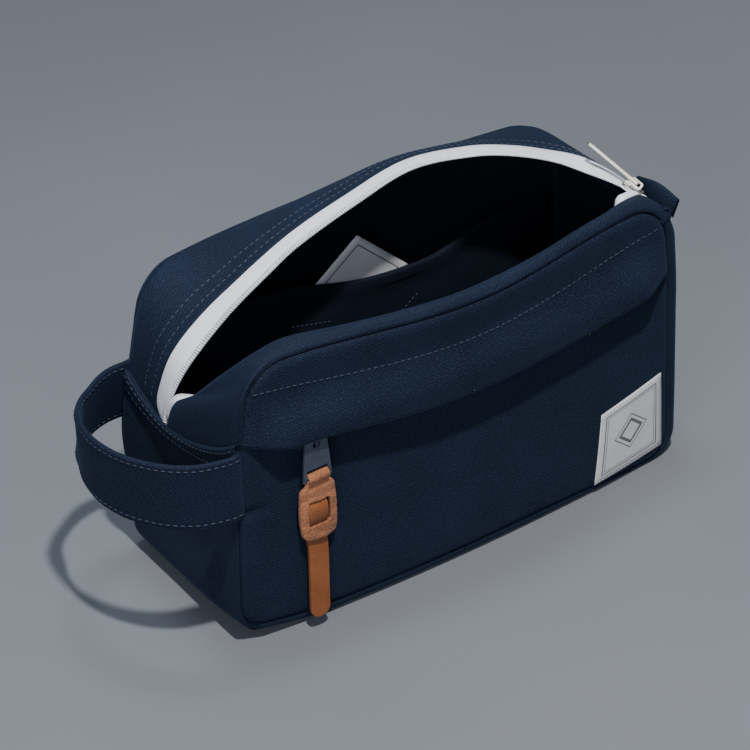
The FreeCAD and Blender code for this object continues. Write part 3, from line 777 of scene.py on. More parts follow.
def side_x(z, shape, right):
    """Where a rounded rectangle's left or right side lies at a height."""
    left, far, low, high, r, big = shape
    inset = 0.0
    if z < low + r:
        inset = r - math.sqrt(max(0.0, r * r - (low + r - z) ** 2))
    if z > high - big:
        inset = big - math.sqrt(max(0.0, big * big - (z - high + big) ** 2))
    return far - inset if right else left + inset


def edge_distance(x, z, shape):
    """How far (x, z) lies inside a rounded rectangle's edge."""
    left, right, low, high, r, big = shape
    dx = min(x - left, right - x)
    dz = min(z - low, high - z)
    radius = r if z - low < high - z else big
    if dx < radius and dz < radius:
        return radius - math.hypot(radius - dx, radius - dz)
    return min(dx, dz)


def spaced(low, high, count, fine, ends=(True, True)):
    """Places from low to high, closer together near the ends, where the cloth rolls into its seam."""
    first = [low + f for f in fine] if ends[0] else [low]
    last = [high - f for f in reversed(fine)] if ends[1] else [high]
    inner = [mix(first[-1], last[0], k / count) for k in range(1, count)]
    return first + inner + last


FINE = (0.0, 0.3, 0.8, 1.6, 2.7, 4.2)


def face_rows(z_low, z_high, columns, rows, out, wave, seed, ends=(True, True), roll=3.6, depth=2.7,
              front=True, shape=SEAM):
    """Rows of points over a face between two heights, rolled over into the seam all round. z_low and z_high
    give the heights at a share f of the width from -1 to 1, and out(x, z) how far the cloth stands out."""
    shares = spaced(-1.0, 1.0, columns, [f / HALF_LENGTH for f in FINE])
    ladder = spaced(0.0, 1.0, rows, [f / 100 for f in FINE], ends)
    result = []
    for h in ladder:
        row = []
        for f in shares:
            z = mix(z_low(f), z_high(f), h)
            x = mix(side_x(z, shape, False), side_x(z, shape, True), (f + 1) / 2)
            inside = max(0.0, edge_distance(x, z, shape))
            t = min(1.0, inside / roll)
            sunk = depth * (1 - math.sqrt(1 - (1 - t) ** 2))
            swell = smooth(inside / 30)
            reach = out(x, z) - sunk + swell * ripple((x, 0, z), RIPPLE_SIZE, wave, seed)
            row.append(at_front(x, reach, z + base_lift(x, z)) if front else at_back(x, reach, z))
        result.append(row)
    return result


def pocket_out(x, z):
    """How far the pocket's front stands out: a small swell, and a tuck at the left under the flap."""
    across = 1 - min(1.0, abs(x) / HALF_LENGTH) ** 2
    swell = 0.8 * math.sin(math.pi * min(1.0, z / 92)) * across
    tuck = 2.0 * smooth((-x - 98) / 12) * math.exp(-((z - 70 + 0.12 * (x + 112)) / 2.2) ** 2)
    return HALF_DEPTH + 0.6 + swell - tuck


def pocket_top(f):
    """The pocket front's upper edge, which stays under the flap where the flap rises at its ends."""
    return 96.0 + 15 * smooth((abs(f) - 0.78) / 0.15)


def flap_edge(f):
    """The flap's lower edge: it rises to the ends, and is caught up a little where the pull comes out."""
    caught = 2.4 * math.exp(-((f + 0.66) / 0.28) ** 2)
    ends = 2.8 * smooth((-f - 0.8) / 0.2) + 1.2 * smooth((f - 0.8) / 0.2)
    return FLAP_LOW + 0.5 + FLAP_RISE * f * f + caught + ends


def flap_out(x, z):
    """The flap lies on the zip: it stands off most at its lower edge and meets the face at the top seam."""
    lift = 7.4 * smooth((123 - z) / 21)
    near = min(x - SEAM[0], SEAM[1] - x)
    return HALF_DEPTH + 1.0 + lift * (0.12 + 0.88 * smooth(near / 20))


def face_uv(rows):
    """Flat places for a face's points, seen from the front."""
    return [(p.x + 200, p.z) for row in rows for p in row]


def finish_piece(obj, slot, *nodes):
    """obj takes its finish from a slot, and stands for the CAD nodes."""
    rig.slot(obj, slot)
    if nodes:
        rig.replaces(obj, *nodes)
    return obj


def own(obj, body, slot, *nodes):
    """A piece that rides on one body."""
    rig.ride(obj, body)
    return finish_piece(obj, slot, *nodes)


def bend(obj, body, span, rows, weight_rows, slot, *nodes):
    """A piece that bends between the bag and a body, across span in metres. Each of its points takes the
    weight of the nearest grid point."""
    points = [p * MM for row in rows for p in row]
    weights = [w for row in weight_rows for w in row]
    tree = KDTree(len(points))
    for i, p in enumerate(points):
        tree.insert(p, i)
    tree.balance()
    values = [weights[tree.find(v.co)[1]] for v in obj.data.vertices]
    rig.blend(obj, "bag", body, start=span[0], end=span[1])
    obj.data.attributes["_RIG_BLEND"].data.foreach_set("value", np.array(values, dtype=np.float32))
    return finish_piece(obj, slot, *nodes)


def seam_foot(f):
    return SEAM[2]


def seam_head(f):
    return SEAM[3]


# How deep each face's slack ripples are, and where in the noise they are taken
RIPPLE_SIZE = 38.0
POCKET_RIPPLE = (0.6, 3.1)
FLAP_RIPPLE = (0.4, 8.4)
BACK_RIPPLE = (0.9, 5.5)


def pocket_front():
    """The pocket's own front, from the base's seam up under the flap."""
    rows = face_rows(seam_foot, pocket_top, 110, 46, pocket_out, *POCKET_RIPPLE, ends=(True, False))
    cloth = cloth_grid("pocket_front", rows, NAVY, 1.2, uv=face_uv(rows))
    own(cloth, "bag", "navy_twill", "pocket_front_panel")


def flap():
    """The flap over the pocket's zip, sewn along the top seam, with its row of stitching."""
    rows = face_rows(flap_edge, seam_head, 110, 26, flap_out, *FLAP_RIPPLE, ends=(False, True), roll=4.4,
                     depth=3.4)
    hem = [[p + Vector((0, 1.4, 0.6)) for p in rows[0]]]
    cloth = cloth_grid("front_flap", hem + rows, NAVY, 1.0, uv=face_uv(hem + rows))
    own(cloth, "bag", "navy_twill", "pocket_flap")
    line = []
    for k in range(81):
        x = mix(SEAM[0] + 5, SEAM[1] - 5, k / 80)
        z = 118.8 + 7.5 * (x / 100) ** 2
        line.append(at_front(x, flap_out(x, z) + ripple((x, 0, z), RIPPLE_SIZE, *FLAP_RIPPLE), z))
    seam = stitches("flap_stitching", line, [FORWARD] * len(line), THREAD)
    own(seam, "bag", "navy_twill")
    deep = length_of([row[60] for row in rows])
    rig.sheet(cloth, flat=((SEAM[1] - SEAM[0]) * MM, deep * MM), held="hung", rests_on=["pocket_front"],
             with_pieces=[seam])


def back_face():
    """The back, with its rolled seam."""
    rows = face_rows(seam_foot, seam_head, 90, 56, lambda x, z: HALF_DEPTH + 0.6, *BACK_RIPPLE, front=False)
    rows = [list(reversed(row)) for row in rows]
    cloth = cloth_grid("back_face", rows, NAVY, 1.2, uv=face_uv(rows))
    own(cloth, "bag", "navy_twill", "back_panel", "back_rim")


def on_face(x, z, out):
    """A point on the pocket's front, `out` beyond its cloth."""
    return at_front(x, pocket_out(x, z) + ripple((x, 0, z), RIPPLE_SIZE, *POCKET_RIPPLE) + out, z)


def quad_label(name, corners, size, place, material, node):
    """A woven label over four corners (x, z), given bottom left, bottom right, top right, top left."""
    rows, uv = [], []
    columns = 14
    for j in range(columns + 1):
        row = []
        for i in range(columns + 1):
            s, t = i / columns, j / columns
            bottom = (mix(corners[0][0], corners[1][0], s), mix(corners[0][1], corners[1][1], s))
            top = (mix(corners[3][0], corners[2][0], s), mix(corners[3][1], corners[2][1], s))
            row.append(place(mix(bottom[0], top[0], t), mix(bottom[1], top[1], t)))
            uv.append((s * size[0], t * size[1]))
        rows.append(row)
    own(cloth_grid(name, rows, material, 0.5, uv=uv, offset=1.0), "bag", "label_cloth", node)


def labels():
    """The woven label sewn on the front and the one inside."""
    corners = [(67.4, 5.6), (108.2, 8.8), (107.2, 49.4), (72.3, 41.6)]
    quad_label("front_label_cloth", corners, FRONT_LABEL, lambda x, z: on_face(x, z, 0.1), LABEL,
               "front_label")
    edge = [on_face(x, z, 0.65) for x, z in corners]
    inset = [e.lerp(sum(edge, Vector()) / 4, 0.05) for e in edge]
    line = []
    for a, b in zip(inset, inset[1:] + inset[:1]):
        line += [a.lerp(b, k / 12) for k in range(12)]
    line = [Vector((p.x, on_face(p.x, p.z, 0.62).y, p.z)) for p in line]
    seam = stitches("label_stitching", line, [FORWARD] * len(line), LABEL_THREAD, 1.9, 1.2, 0.22)
    own(seam, "bag", "label_cloth")
    inner = [(-20.0, 101.4), (7.0, 76.0), (31.0, 93.0), (3.8, 119.0)]
    quad_label("inner_label_cloth", inner, INNER_LABEL, lambda x, z: Vector((x, 41.2, z)), INSIDE_LABEL,
               "inner_label")


# ---- the gusset ----

# The rolled edge, from the face's seam on to the gusset, as (share of the way in to that seam, how far the
# cloth stands out)
ROLL = ((1.0, 0.0), (0.93, 1.2), (0.74, 2.1), (0.45, 1.9), (0.2, 0.7), (0.06, -1.2), (0.0, -4.0))


def rolled_edge(q, front):
    """Points from a face's seam out and round on to the gusset, at the outline's q."""
    (sx, sz), ((px, pz), n) = ring(q, SEAM)[0], ring(q, OUTLINE)
    if front:
        sz += base_lift(sx, sz)
        pz += 0.5 * base_lift(px, pz) * smooth((-px - 78) / 24)
    flat_side = smooth((LEFT + 12 - px) / 8) * smooth((118 - pz) / 20)
    place = at_front if front else at_back
    out = []
    for share, rise in ROLL:
        deep = SEAM_DEPTH + (rise * (1 - 0.7 * flat_side) if rise > 0 else rise)
        out.append(place(mix(px, sx, share), deep, mix(pz, sz, share)))
    return out


def wall_sag(q, y):
    """How far the gusset sinks inwards: its end walls are hollow in the middle, and its base lies flat."""
    (x, z), n = ring(q, OUTLINE)
    across = max(0.0, math.cos(math.pi * y / (2 * HALF_DEPTH))) ** 1.2
    wall = smooth((z - 14) / 30) * smooth((100 - z) / 30) * abs(n[0])
    crease = ripple((x, y, z), 26.0, 1.3, 2.0) * smooth((z - 8) / 20)
    slant = math.exp(-((y + 20 + (z - 45) * 0.5) / 7) ** 2) * smooth((z - 12) / 20) * smooth((84 - z) / 20)
    return across * (wall * (2.6 + 1.0 * slant) + crease)


def gusset():
    """The long strip round the ends and base. Its last rows tuck in under the strips at the right."""
    rows = []
    count = 150
    for k in range(count + 4):
        tucked = max(0, k - count)
        q = mix(0.0, RIGHT_Q, k / count)
        front, back = rolled_edge(q, True), rolled_edge(q, False)
        (px, pz), n = ring(q, OUTLINE)
        row = list(front)
        for i in range(1, 16):
            p = front[-1].lerp(back[-1], i / 16)
            p.z = mix(back[-1].z, front[-1].z, (1 - i / 16) ** 5)
            sag = wall_sag(q, p.y) + (1.6 if tucked else 0.0)
            row.append(Vector((p.x - n[0] * sag, p.y, max(0.0, p.z - n[1] * sag))))
        row += reversed(back)
        if tucked:
            row = [p - Vector((n[0], 0, n[1])) * 1.2 for p in row]
        if px < 0:
            share = smooth((pz - 52) / 45)
            row = [p + Vector((0, 0, dip(p.y) * share)) for p in row]
        rows.append(row)
    own(cloth_grid("gusset", rows, NAVY, CLOTH), "bag", "navy_twill", "base_gusset")


def strap_rows(path, outs, widths, thick, ups):
    """Closed cross-sections of a folded strap along path. outs are its outward directions, ups its edges'."""
    shape = []
    for side, first in ((0.5, 0.0), (-0.5, math.pi)):
        for k in range(5):
            a = first + math.pi * k / 4
            shape.append((side, math.cos(a) * 0.5, math.sin(a) * 0.5))
    rows, uv, gone = [], [], 0.0
    for i, (p, n, up, wide) in enumerate(zip(path, outs, ups, widths)):
        if i:
            gone += (p - path[i - 1]).length
        row, around = [], 0.0
        ring_points = [(side * (wide - thick) + s * thick, c * thick) for side, c, s in shape]
        flat = []
        for a, b in zip(ring_points, ring_points[1:] + ring_points[:1]):
            steps = 8 if math.dist(a, b) > wide / 2 else 1
            flat += [(mix(a[0], b[0], t / steps), mix(a[1], b[1], t / steps)) for t in range(steps)]
        flat.append(flat[0])
        for j, (v, w) in enumerate(flat):
            if j:
                around += math.dist(flat[j], flat[j - 1])
            row.append(p + up * v + n * w)
            uv.append((gone, around))
        rows.append(row)
    return rows, uv


def left_band():
    """The folded band over the left end's join, which sags between the two side seams."""
    path, widths = [], []
    for k in range(61):
        y = mix(44.4, -45.6, k / 60)
        sink = dip(y)
        top, foot = JOIN_LEFT + 1.0 + sink, JOIN_LEFT - 10 + 0.6 * min(0.0, sink) + max(0.0, sink)
        x = LEFT - 1.3 + lean(LEFT, y, 97) + 2.0 * smooth((abs(y) - 40) / 6)
        path.append(Vector((x, y, (top + foot) / 2)))
        widths.append(top - foot)
    outs = [Vector((-1, 0, 0))] * len(path)
    rows, uv = strap_rows(path, outs, widths, 2.0, [UP] * len(path))
    own(cloth_grid("left_band", rows, NAVY, 0, uv=uv), "bag", "navy_twill", "left_join_band")
    for name, share in (("left_band_stitching_upper", 0.24), ("left_band_stitching_lower", -0.34)):
        line = [p + Vector((-1.0, 0, share * w)) for p, w in zip(path, widths)][2:-2]
        own(stitches(name, line, outs[2:-2], THREAD), "bag", "navy_twill")


# The strap's way round from its front end to its back one, seen from above, as (x, y)
HANDLE_PLAN = [(-113.8, -43.4), (-116.2, -46.0), (-119.0, -46.8), (-124.8, -45.7), (-134.8, -41.8),
               (-145.6, -32.4), (-153.8, -19.5), (-157.6, -6.0), (-158.0, 6.0), (-155.0, 19.0),
               (-147.2, 31.0), (-136.4, 40.2), (-126.0, 44.6), (-119.4, 45.6), (-116.6, 44.6),
               (-114.2, 42.6)]
HANDLE_BEND = ((-0.1165, 0, 0.0855), (-0.124, 0, 0.0855))  # metres
HANDLE_TILT = math.radians(12)


def handle():
    """The side handle: a folded strap sewn into the left end's side seams. Its back part leans inwards."""
    middle = (HANDLE_LOW + HANDLE_HIGH) / 2
    width = HANDLE_HIGH - HANDLE_LOW
    path = along([Vector((x, y, middle)) for x, y in HANDLE_PLAN], 120)
    outs = [tangent.cross(UP).normalized() for tangent in tangents(path)]
    if outs[len(outs) // 2].x > 0:
        outs = [-n for n in outs]
    line, tilts = [], []
    for p, n in zip(path, outs):
        swell = 1.2 * smooth((p.y - 24) / 10) * smooth((-p.x - 118) / 12)
        sunk = 1.2 * smooth((p.y - 20) / 20)
        line.append(p + n * (ripple(p, 26.0, 0.8, 4.4) + swell) - UP * sunk)
        tilts.append(HANDLE_TILT * smooth((p.y - 20) / 18) * smooth((-p.x - 113) / 5))
    ups = [UP * math.cos(a) - n * math.sin(a) for a, n in zip(tilts, outs)]
    outs = [n * math.cos(a) + UP * math.sin(a) for a, n in zip(tilts, outs)]
    rows, uv = strap_rows(line, outs, [width] * len(path), 2.2, ups)
    cloth = cloth_grid("handle_cloth", rows, NAVY, 0, uv=uv)
    weights = [[smooth((-118.5 - p.x) / 7)] * len(rows[0]) for p in path]
    bend(cloth, "handle", HANDLE_BEND, rows, weights, "navy_twill", "handle_strap", "handle_sewn_ends")
    seams = []
    for edge, height in (("upper", width / 2 - 2.6), ("lower", -width / 2 + 2.6)):
        for side, share in (("outer", 1), ("inner", -1)):
            seam = [p + n * 1.1 * share + up * height for p, n, up in zip(line, outs, ups)][4:-4]
            seam_out = [n * share for n in outs][4:-4]
            row = stitches("handle_stitching_%s_%s" % (side, edge), seam, seam_out, THREAD)
            seams.append(bend(row, "handle", HANDLE_BEND, rows, weights, "navy_twill"))
    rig.sheet(cloth, flat=(2 * width * MM, length_of(path) * MM), held="folded", rests_on=["gusset"],
             with_pieces=seams)


# The end tab's two long edges, as (share of the way, (x, y, z)), and the way its outer side faces
TAB_FOOT = [(0, (115.0, -11.0, 126.5)), (0.5, (117.2, -26.0, 126.0)), (1, (117.4, -40.5, 125.0))]
TAB_TOP = [(0, (117.4, -17.0, 135.4)), (0.5, (119.4, -29.0, 136.4)), (1, (119.8, -42.0, 134.4))]
TAB_OUT = Vector((0.93, -0.05, -0.36)).normalized()
TAB_BEND = ((0.116, -0.03, 0.126), (0.118, -0.03, 0.133))  # metres
TAB_CUT = (0.0216, 0.030)  # its flat size, in metres


def end_tab():
    """The folded tab of cloth at the zip's right end, to hold while the zip is pulled."""
    rows = []
    for t in [-0.02, 0.0, 0.03] + [k / 20 for k in range(1, 20)] + [0.97, 1.0, 1.02]:
        shut = t in (-0.02, 1.02)
        t = min(1, max(0, t)) if shut else t
        a, b = through(TAB_FOOT, t), through(TAB_TOP, t)
        d = b - a
        ended = 0.25 if shut else (0.8 if t in (0.0, 1.0) else 1.0)
        if shut:
            b, d = a + d * 0.93, d * 0.93
        half = 1.2 * ended
        puff = 0.5 * math.sin(math.pi * t) * ended
        side = (0, 0.2, 0.4, 0.6, 0.8, 0.94)
        row = [a + d * s + TAB_OUT * (half + puff * math.sin(math.pi * s)) for s in side]
        row += [b + TAB_OUT * half * 0.6, b + d * 0.03, b - TAB_OUT * half * 0.6]
        row += [a + d * s - TAB_OUT * (half + puff * math.sin(math.pi * s)) for s in reversed(side)]
        rows.append(row)
    cloth = cloth_grid("end_tab_cloth", rows, NAVY, 0)
    weights = [[smooth((p.z - 126) / 7) for p in row] for row in rows]
    bend(cloth, "end_tab", TAB_BEND, rows, weights, "navy_twill", "end_tab")
    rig.sheet(cloth, flat=TAB_CUT, held="folded", rests_on=["gusset"])


# ---- the strips that carry the main zip ----

# Stations from the left end to the right one, as (share of the way, (x, y, z)): the rear strip's cloth edge,
# the edge of its zip's teeth, and the front strip's rim, where its cloth folds down inside.
CLOTH_EDGE = [(0.0, (-116.6, 15.0, 83.5)), (0.028, (-115.8, 20.2, 91)), (0.06, (-113.8, 18.0, 103.4)),
              (0.09, (-110.6, 16.0, 113.4)), (0.12, (-105.0, 15.0, 121.0)), (0.165, (-95.5, 14.6, 128.8)),
              (0.219, (-84, 15.6, 134.6)), (0.3815, (-46, 19.2, 149.2)), (0.51, (-12, 22.7, 155.6)),
              (0.6237, (18, 24.5, 159.6)), (0.749, (51, 21.6, 156.4)), (0.828, (72, 17.9, 151)),
              (0.90, (91.5, 14.2, 143.2)), (0.935, (100.8, 3, 141.6)), (0.965, (107.2, -13, 138.6)),
              (1.0, (115.2, -33.5, 128.6))]
COIL_EDGE = [(0.0, (-116.6, 11.8, 83.5)), (0.028, (-115.8, 12.0, 90)), (0.06, (-113.9, 8.2, 101)),
             (0.09, (-109.5, 5.2, 111.5)), (0.12, (-102.8, 3.6, 120.0)), (0.165, (-93.0, 3.2, 128.6)),
             (0.219, (-81.8, 4.2, 135.4)), (0.3, (-64.6, 6.6, 142.6)), (0.3815, (-47.8, 8.6, 149.3)),
             (0.51, (-14, 12.2, 156.5)), (0.6237, (16, 13.7, 161.6)), (0.749, (47.5, 10.8, 158.0)),
             (0.828, (67, 7.3, 152.6)), (0.90, (86.5, 3.2, 144.2)), (0.935, (94.8, -8.6, 141.0)),
             (0.965, (102.6, -23.0, 138.0)), (1.0, (112.3, -37.6, 130.2))]
RIM_EDGE = [(0.0, (-116.4, 11.4, 83.0)), (0.03, (-115.6, 8.9, 92.4)), (0.055, (-114.5, 4.0, 100.0)),
            (0.075, (-113.5, -2.0, 104.6)), (0.095, (-112.3, -8.5, 109.5)), (0.12, (-110.4, -20, 121.5)),
            (0.15, (-106.5, -29.5, 131.8)), (0.185, (-99, -34.0, 138.0)), (0.219, (-88, -35.3, 140.8)),
            (0.26, (-78, -37.4, 141.2)), (0.33, (-60, -42.0, 140.6)), (0.42, (-36, -46.2, 139.6)),
            (0.52, (-10, -49.0, 138.8)), (0.60, (12, -48.8, 138.8)), (0.70, (38, -46.4, 139.4)),
            (0.79, (62, -42.6, 140.5)), (0.86, (80, -39.8, 141)), (0.90, (90, -37.0, 140.9)),
            (0.94, (99.5, -34.0, 139.2)), (0.965, (104.8, -33.0, 137.4)), (1.0, (109.9, -41.0, 132.6))]
LIP_BEND = ((0, 0, 0.13), (0, 0.01, 0.14))  # metres


def lip_weight(u, first, last):
    """How much of a lip's turn a place takes: none near the sewn ends, all of it in the middle."""
    return smooth((u - first) / 0.2) * smooth((last - u) / 0.12)


def bezier(poles, t):
    """The point at t on the curve that poles pull towards them."""
    work = [Vector(p) for p in poles]
    while len(work) > 1:
        work = [a.lerp(b, t) for a, b in zip(work, work[1:])]
    return work[0]


def hang_on_band(rows, shares):
    """The first rows of a strip follow the left band down."""
    for row, u in zip(rows, shares):
        near = smooth(1 - u / 0.05)
        for p in row:
            p.z = mix(p.z, JOIN_LEFT + dip(p.y) - 3.0 + 300 * u, near)


def strip_uv(rows):
    """Flat places for a long strip's points: the way along its middle, and the way across each row."""
    uv, gone, last = [], 0.0, None
    for row in rows:
        middle = row[len(row) // 2]
        gone += (middle - last).length if last else 0.0
        last = middle
        lengths = [(b - a).length for a, b in zip(row, row[1:])]
        centre = sum(lengths[:len(row) // 2])
        across = -centre
        for i in range(len(row)):
            uv.append((gone, across))
            across += lengths[i] if i < len(lengths) else 0.0
    return uv


def rear_strip():
    """The strip of cloth from the back's top seam to the zip, with its two rows of stitching."""
    rows, weights, shares = [], [], []
    count = 140
    for k in range(count + 1):
        u = k / count
        q = top_q(u, JOIN_LEFT)
        n = ring(q, OUTLINE)[1]
        up = Vector((n[0], 0, n[1]))
        foot = rolled_edge(q, False)
        base = foot[-2]
        edge = through(CLOTH_EDGE, u)
        rise = max(0.0, (edge - base).dot(up))
        dome = 0.8 + 0.5 * smooth((u - 0.3) / 0.3) * smooth((1.02 - u) / 0.2)
        inner = edge - FORWARD * 13 - up * (0.9 + 0.1 * rise)
        poles = [base, base + up * (0.22 * rise + dome), inner, edge]
        row = foot[:-2] + [bezier(poles, t / 18) for t in range(19)]
        slack = [smooth(i / 10) * smooth((24 - i) / 4) for i in range(len(row))]
        row = [p + up * ripple(p, 30.0, 0.8, 1.3) * share for p, share in zip(row, slack)]
        rows.append(row)
        shares.append(u)
        w = lip_weight(u, 0.10, 0.97)
        weights.append([w * smooth((i - 5) / 5) for i in range(len(row))])
    hang_on_band(rows, shares)
    cloth = cloth_grid("rear_strip", rows, NAVY, 1.2, uv=strip_uv(rows))
    bend(cloth, "rear_lip", LIP_BEND, rows, weights, "navy_twill", "rear_lip_left_end", "rear_lip_right_end",
         "rear_lip_cloth")
    normals = grid_normals(rows)
    for name, inset in (("rear_stitching_inner", 5.0), ("rear_stitching_outer", 11.0)):
        line, out = [], []
        for row, n in zip(rows[4:-3], normals[4:-3]):
            gone, i = 0.0, len(row) - 1
            while gone < inset:
                gone += (row[i] - row[i - 1]).length
                i -= 1
            share = (gone - inset) / (row[i + 1] - row[i]).length
            line.append(row[i].lerp(row[i + 1], share))
            out.append(n[i])
        bend(stitches(name, line, out, THREAD), "rear_lip", LIP_BEND, rows, weights, "navy_twill")


def rear_zip():
    """The rear half of the open zip: its tape lies under the cloth at the left and on it at the right."""
    rows, weights, line, across, out, ends = [], [], [], [], [], []
    count = 150
    for k in range(count + 1):
        u = k / count * 0.978
        a, b = through(CLOTH_EDGE, u), through(COIL_EDGE, u)
        d = (b - a).normalized()
        ahead = through(CLOTH_EDGE, min(1.0, u + 0.004)) - through(CLOTH_EDGE, max(0.0, u - 0.004))
        n = ahead.cross(d).normalized()
        if n.dot(Vector((-0.7, 0, 0.7)) if u < 0.15 else UP) < 0:
            n = -n
        bare = smooth((u - 0.4) / 0.45)
        start = a - d * mix(3.0, 0.3, bare) - n * 0.6 * (1 - bare)
        proud = 0.6 * bare - 0.15
        rows.append([start.lerp(b, t / 8) + n * (0.5 * math.sin(math.pi * t / 8) + proud) for t in range(9)])
        w = lip_weight(u, 0.10, 0.97)
        weights.append([w] * 9)
        line.append(b - d * 0.8 + n * 0.25)
        across.append(d)
        out.append(n)
        ends.append([w])
    cloth = cloth_grid("rear_zip_tape_cloth", rows, WHITE_TAPE, 0.7)
    bend(cloth, "rear_lip", LIP_BEND, rows, weights, "white_tape", "rear_zip_tape", "main_zip_tape_ends")
    teeth = coil_teeth("rear_zip_teeth", line, across, out, WHITE_COIL)
    bend(teeth, "rear_lip", LIP_BEND, [[p] for p in line], ends, "white_coil", "rear_zip_coil",
         "main_zip_coil_ends")


# The fold over the rim, as (way up, way over), and the white tape's hump beside it, as (way inwards, way up)
RIM_CREST = ((1.2, 3.6), (0.8, 1), (-0.8, 0), (-2.2, -0.5))
TAPE_HUMP = ((0.0, -1.5), (0.2, 0.6), (1.0, 2.0), (2.6, 2.6), (4.4, 2.0), (6.0, 0.2), (7.0, -2.0))


def front_row(u, join):
    """The front strip's cloth at the share u: up from the seam, over the rim and down inside. Also the rim's
    place, which way the cloth hangs, and how much of it hangs inside, from 0 at the ends to 1."""
    q = top_q(u, join)
    n = ring(q, OUTLINE)[1]
    up = Vector((n[0], 0, n[1]))
    foot = rolled_edge(q, True)
    rim = through(RIM_EDGE, u)
    swell = mix(1.6, 0.9, smooth((u - 0.16) / 0.12) * smooth((0.9 - u) / 0.08))
    row = foot[:3]
    for t in range(1, 6):
        p = foot[3].lerp(rim + up * 1.2 + FORWARD * 3.0, t / 6)
        row.append(p + up * math.sin(math.pi * t / 6) * swell + up * ripple(p, 20.0, 0.7, 6.0))
    tilt = Vector((0, -0.6, 0)) if u > 0.1 else Vector((0, -0.2, -0.2))
    row += [rim + up * high + tilt * over for high, over in RIM_CREST]
    deep = smooth((u - 0.10) / 0.16) * smooth((0.925 - u) / 0.06)
    drop = mix(mix(0.6, 9.0, smooth(u / 0.1)) if u < 0.5 else 1.5, 34.0, deep)
    lip_y = mix(rim.y, -37.0, deep)
    down = (up * (1 - deep) * 0.4 + UP * max(deep, 0.5)).normalized()
    for t in range(1, 9):
        p = rim - up * 2.2 - down * (drop * t / 8)
        slack = ripple(p, 22.0, 1.6, 7.7) * deep * t / 8
        p.y = mix(rim.y, lip_y, smooth(t / 8 * 1.6)) + slack
        row.append(p)
    return row, rim, down, deep


def front_tape_row(u, hem, rim, down, deep):
    """The front zip's tape: a low hump beside the rim at each end, and hanging inside between them."""
    if u < 0.5:
        inward, rise_by = Vector((1.0, 0.25, 0)), Vector((-0.2, 0.75, 0.6))
        shown = smooth((0.078 - u) / 0.035)
        hidden = 4.0 * (1 - shown)
    else:
        inward, rise_by = Vector((-0.1, 0.6, 0)), Vector((0, 0.35, 0.9))
        shown, hidden = 0.35, 0.0
    hump = [rim + inward * a + rise_by * (b * shown - hidden) for a, b in TAPE_HUMP]
    straight = [hem + Vector((0.4, 0.3, 0)) - down * (11 * t / 6 - 2) for t in range(7)]
    return [h.lerp(p, smooth(deep * 1.6)) for h, p in zip(hump, straight)]


def front_strip():
    """The strip from the front's top seam, folded down inside, with its half of the zip on its edge."""
    rows, weights, shares, tape_rows, tape_weights = [], [], [], [], []
    count, fixed = 140, 10
    join = JOIN_LEFT + dip(-47)
    for k in range(count + 1):
        u = k / count
        row, rim, down, deep = front_row(u, join)
        rows.append(row)
        shares.append(u)
        w = lip_weight(u, 0.22, 0.93)
        weights.append([w * smooth((i - fixed) / 6) for i in range(len(row))])
        if 0.012 < u < 0.965:
            tape_rows.append(front_tape_row(u, row[-1], rim, down, deep))
            tape_weights.append([w] * 7)
    hang_on_band(rows, shares)
    rows = [list(reversed(r)) for r in rows]
    weights = [list(reversed(w)) for w in weights]
    cloth = cloth_grid("front_strip", rows, NAVY, 1.2, uv=strip_uv(rows))
    bend(cloth, "front_lip", LIP_BEND, rows, weights, "navy_twill", "front_lip_left_end",
         "front_lip_right_end", "front_rim", "front_lip_cloth")
    tape = cloth_grid("front_zip_tape_cloth", tape_rows, WHITE_TAPE, 0.7)
    bend(tape, "front_lip", LIP_BEND, tape_rows, tape_weights, "white_tape", "front_zip_tape")
    tape_rows, tape_weights = tape_rows[8:-4], tape_weights[8:-4]
    line = [row[-1] for row in tape_rows]
    across = [(row[-1] - row[-2]).normalized() for row in tape_rows]
    out = [a.cross(b).normalized() for a, b in zip(tangents(line), across)]
    teeth = coil_teeth("front_zip_teeth", line, across, out, WHITE_COIL)
    bend(teeth, "front_lip", LIP_BEND, [[p] for p in line], [w[:1] for w in tape_weights], "white_coil",
         "front_zip_coil")


def joined_tape():
    """Both zip tapes side by side from the slider to the stop."""
    start, end = Vector((104.0, -21.0, 139.0)), Vector((113.0, -39.5, 128.8))
    across = Vector((0.60, 0.606, -0.522))
    out = across.cross((end - start).normalized()).normalized()
    if out.z < 0:
        out = -out
    rows = []
    for k in range(17):
        c = start.lerp(end, k / 16)
        row = []
        for t in range(11):
            sunk = 0.9 + 0.02 * (t - 5) ** 2
            row.append(c + across * mix(-8.0, 7.0, t / 10) - out * sunk)
        rows.append(row)
    own(cloth_grid("joined_zip_tape", rows, WHITE_TAPE, 0.6), "bag", "white_tape", "main_zip_joined_tape")


# ---- inside ----

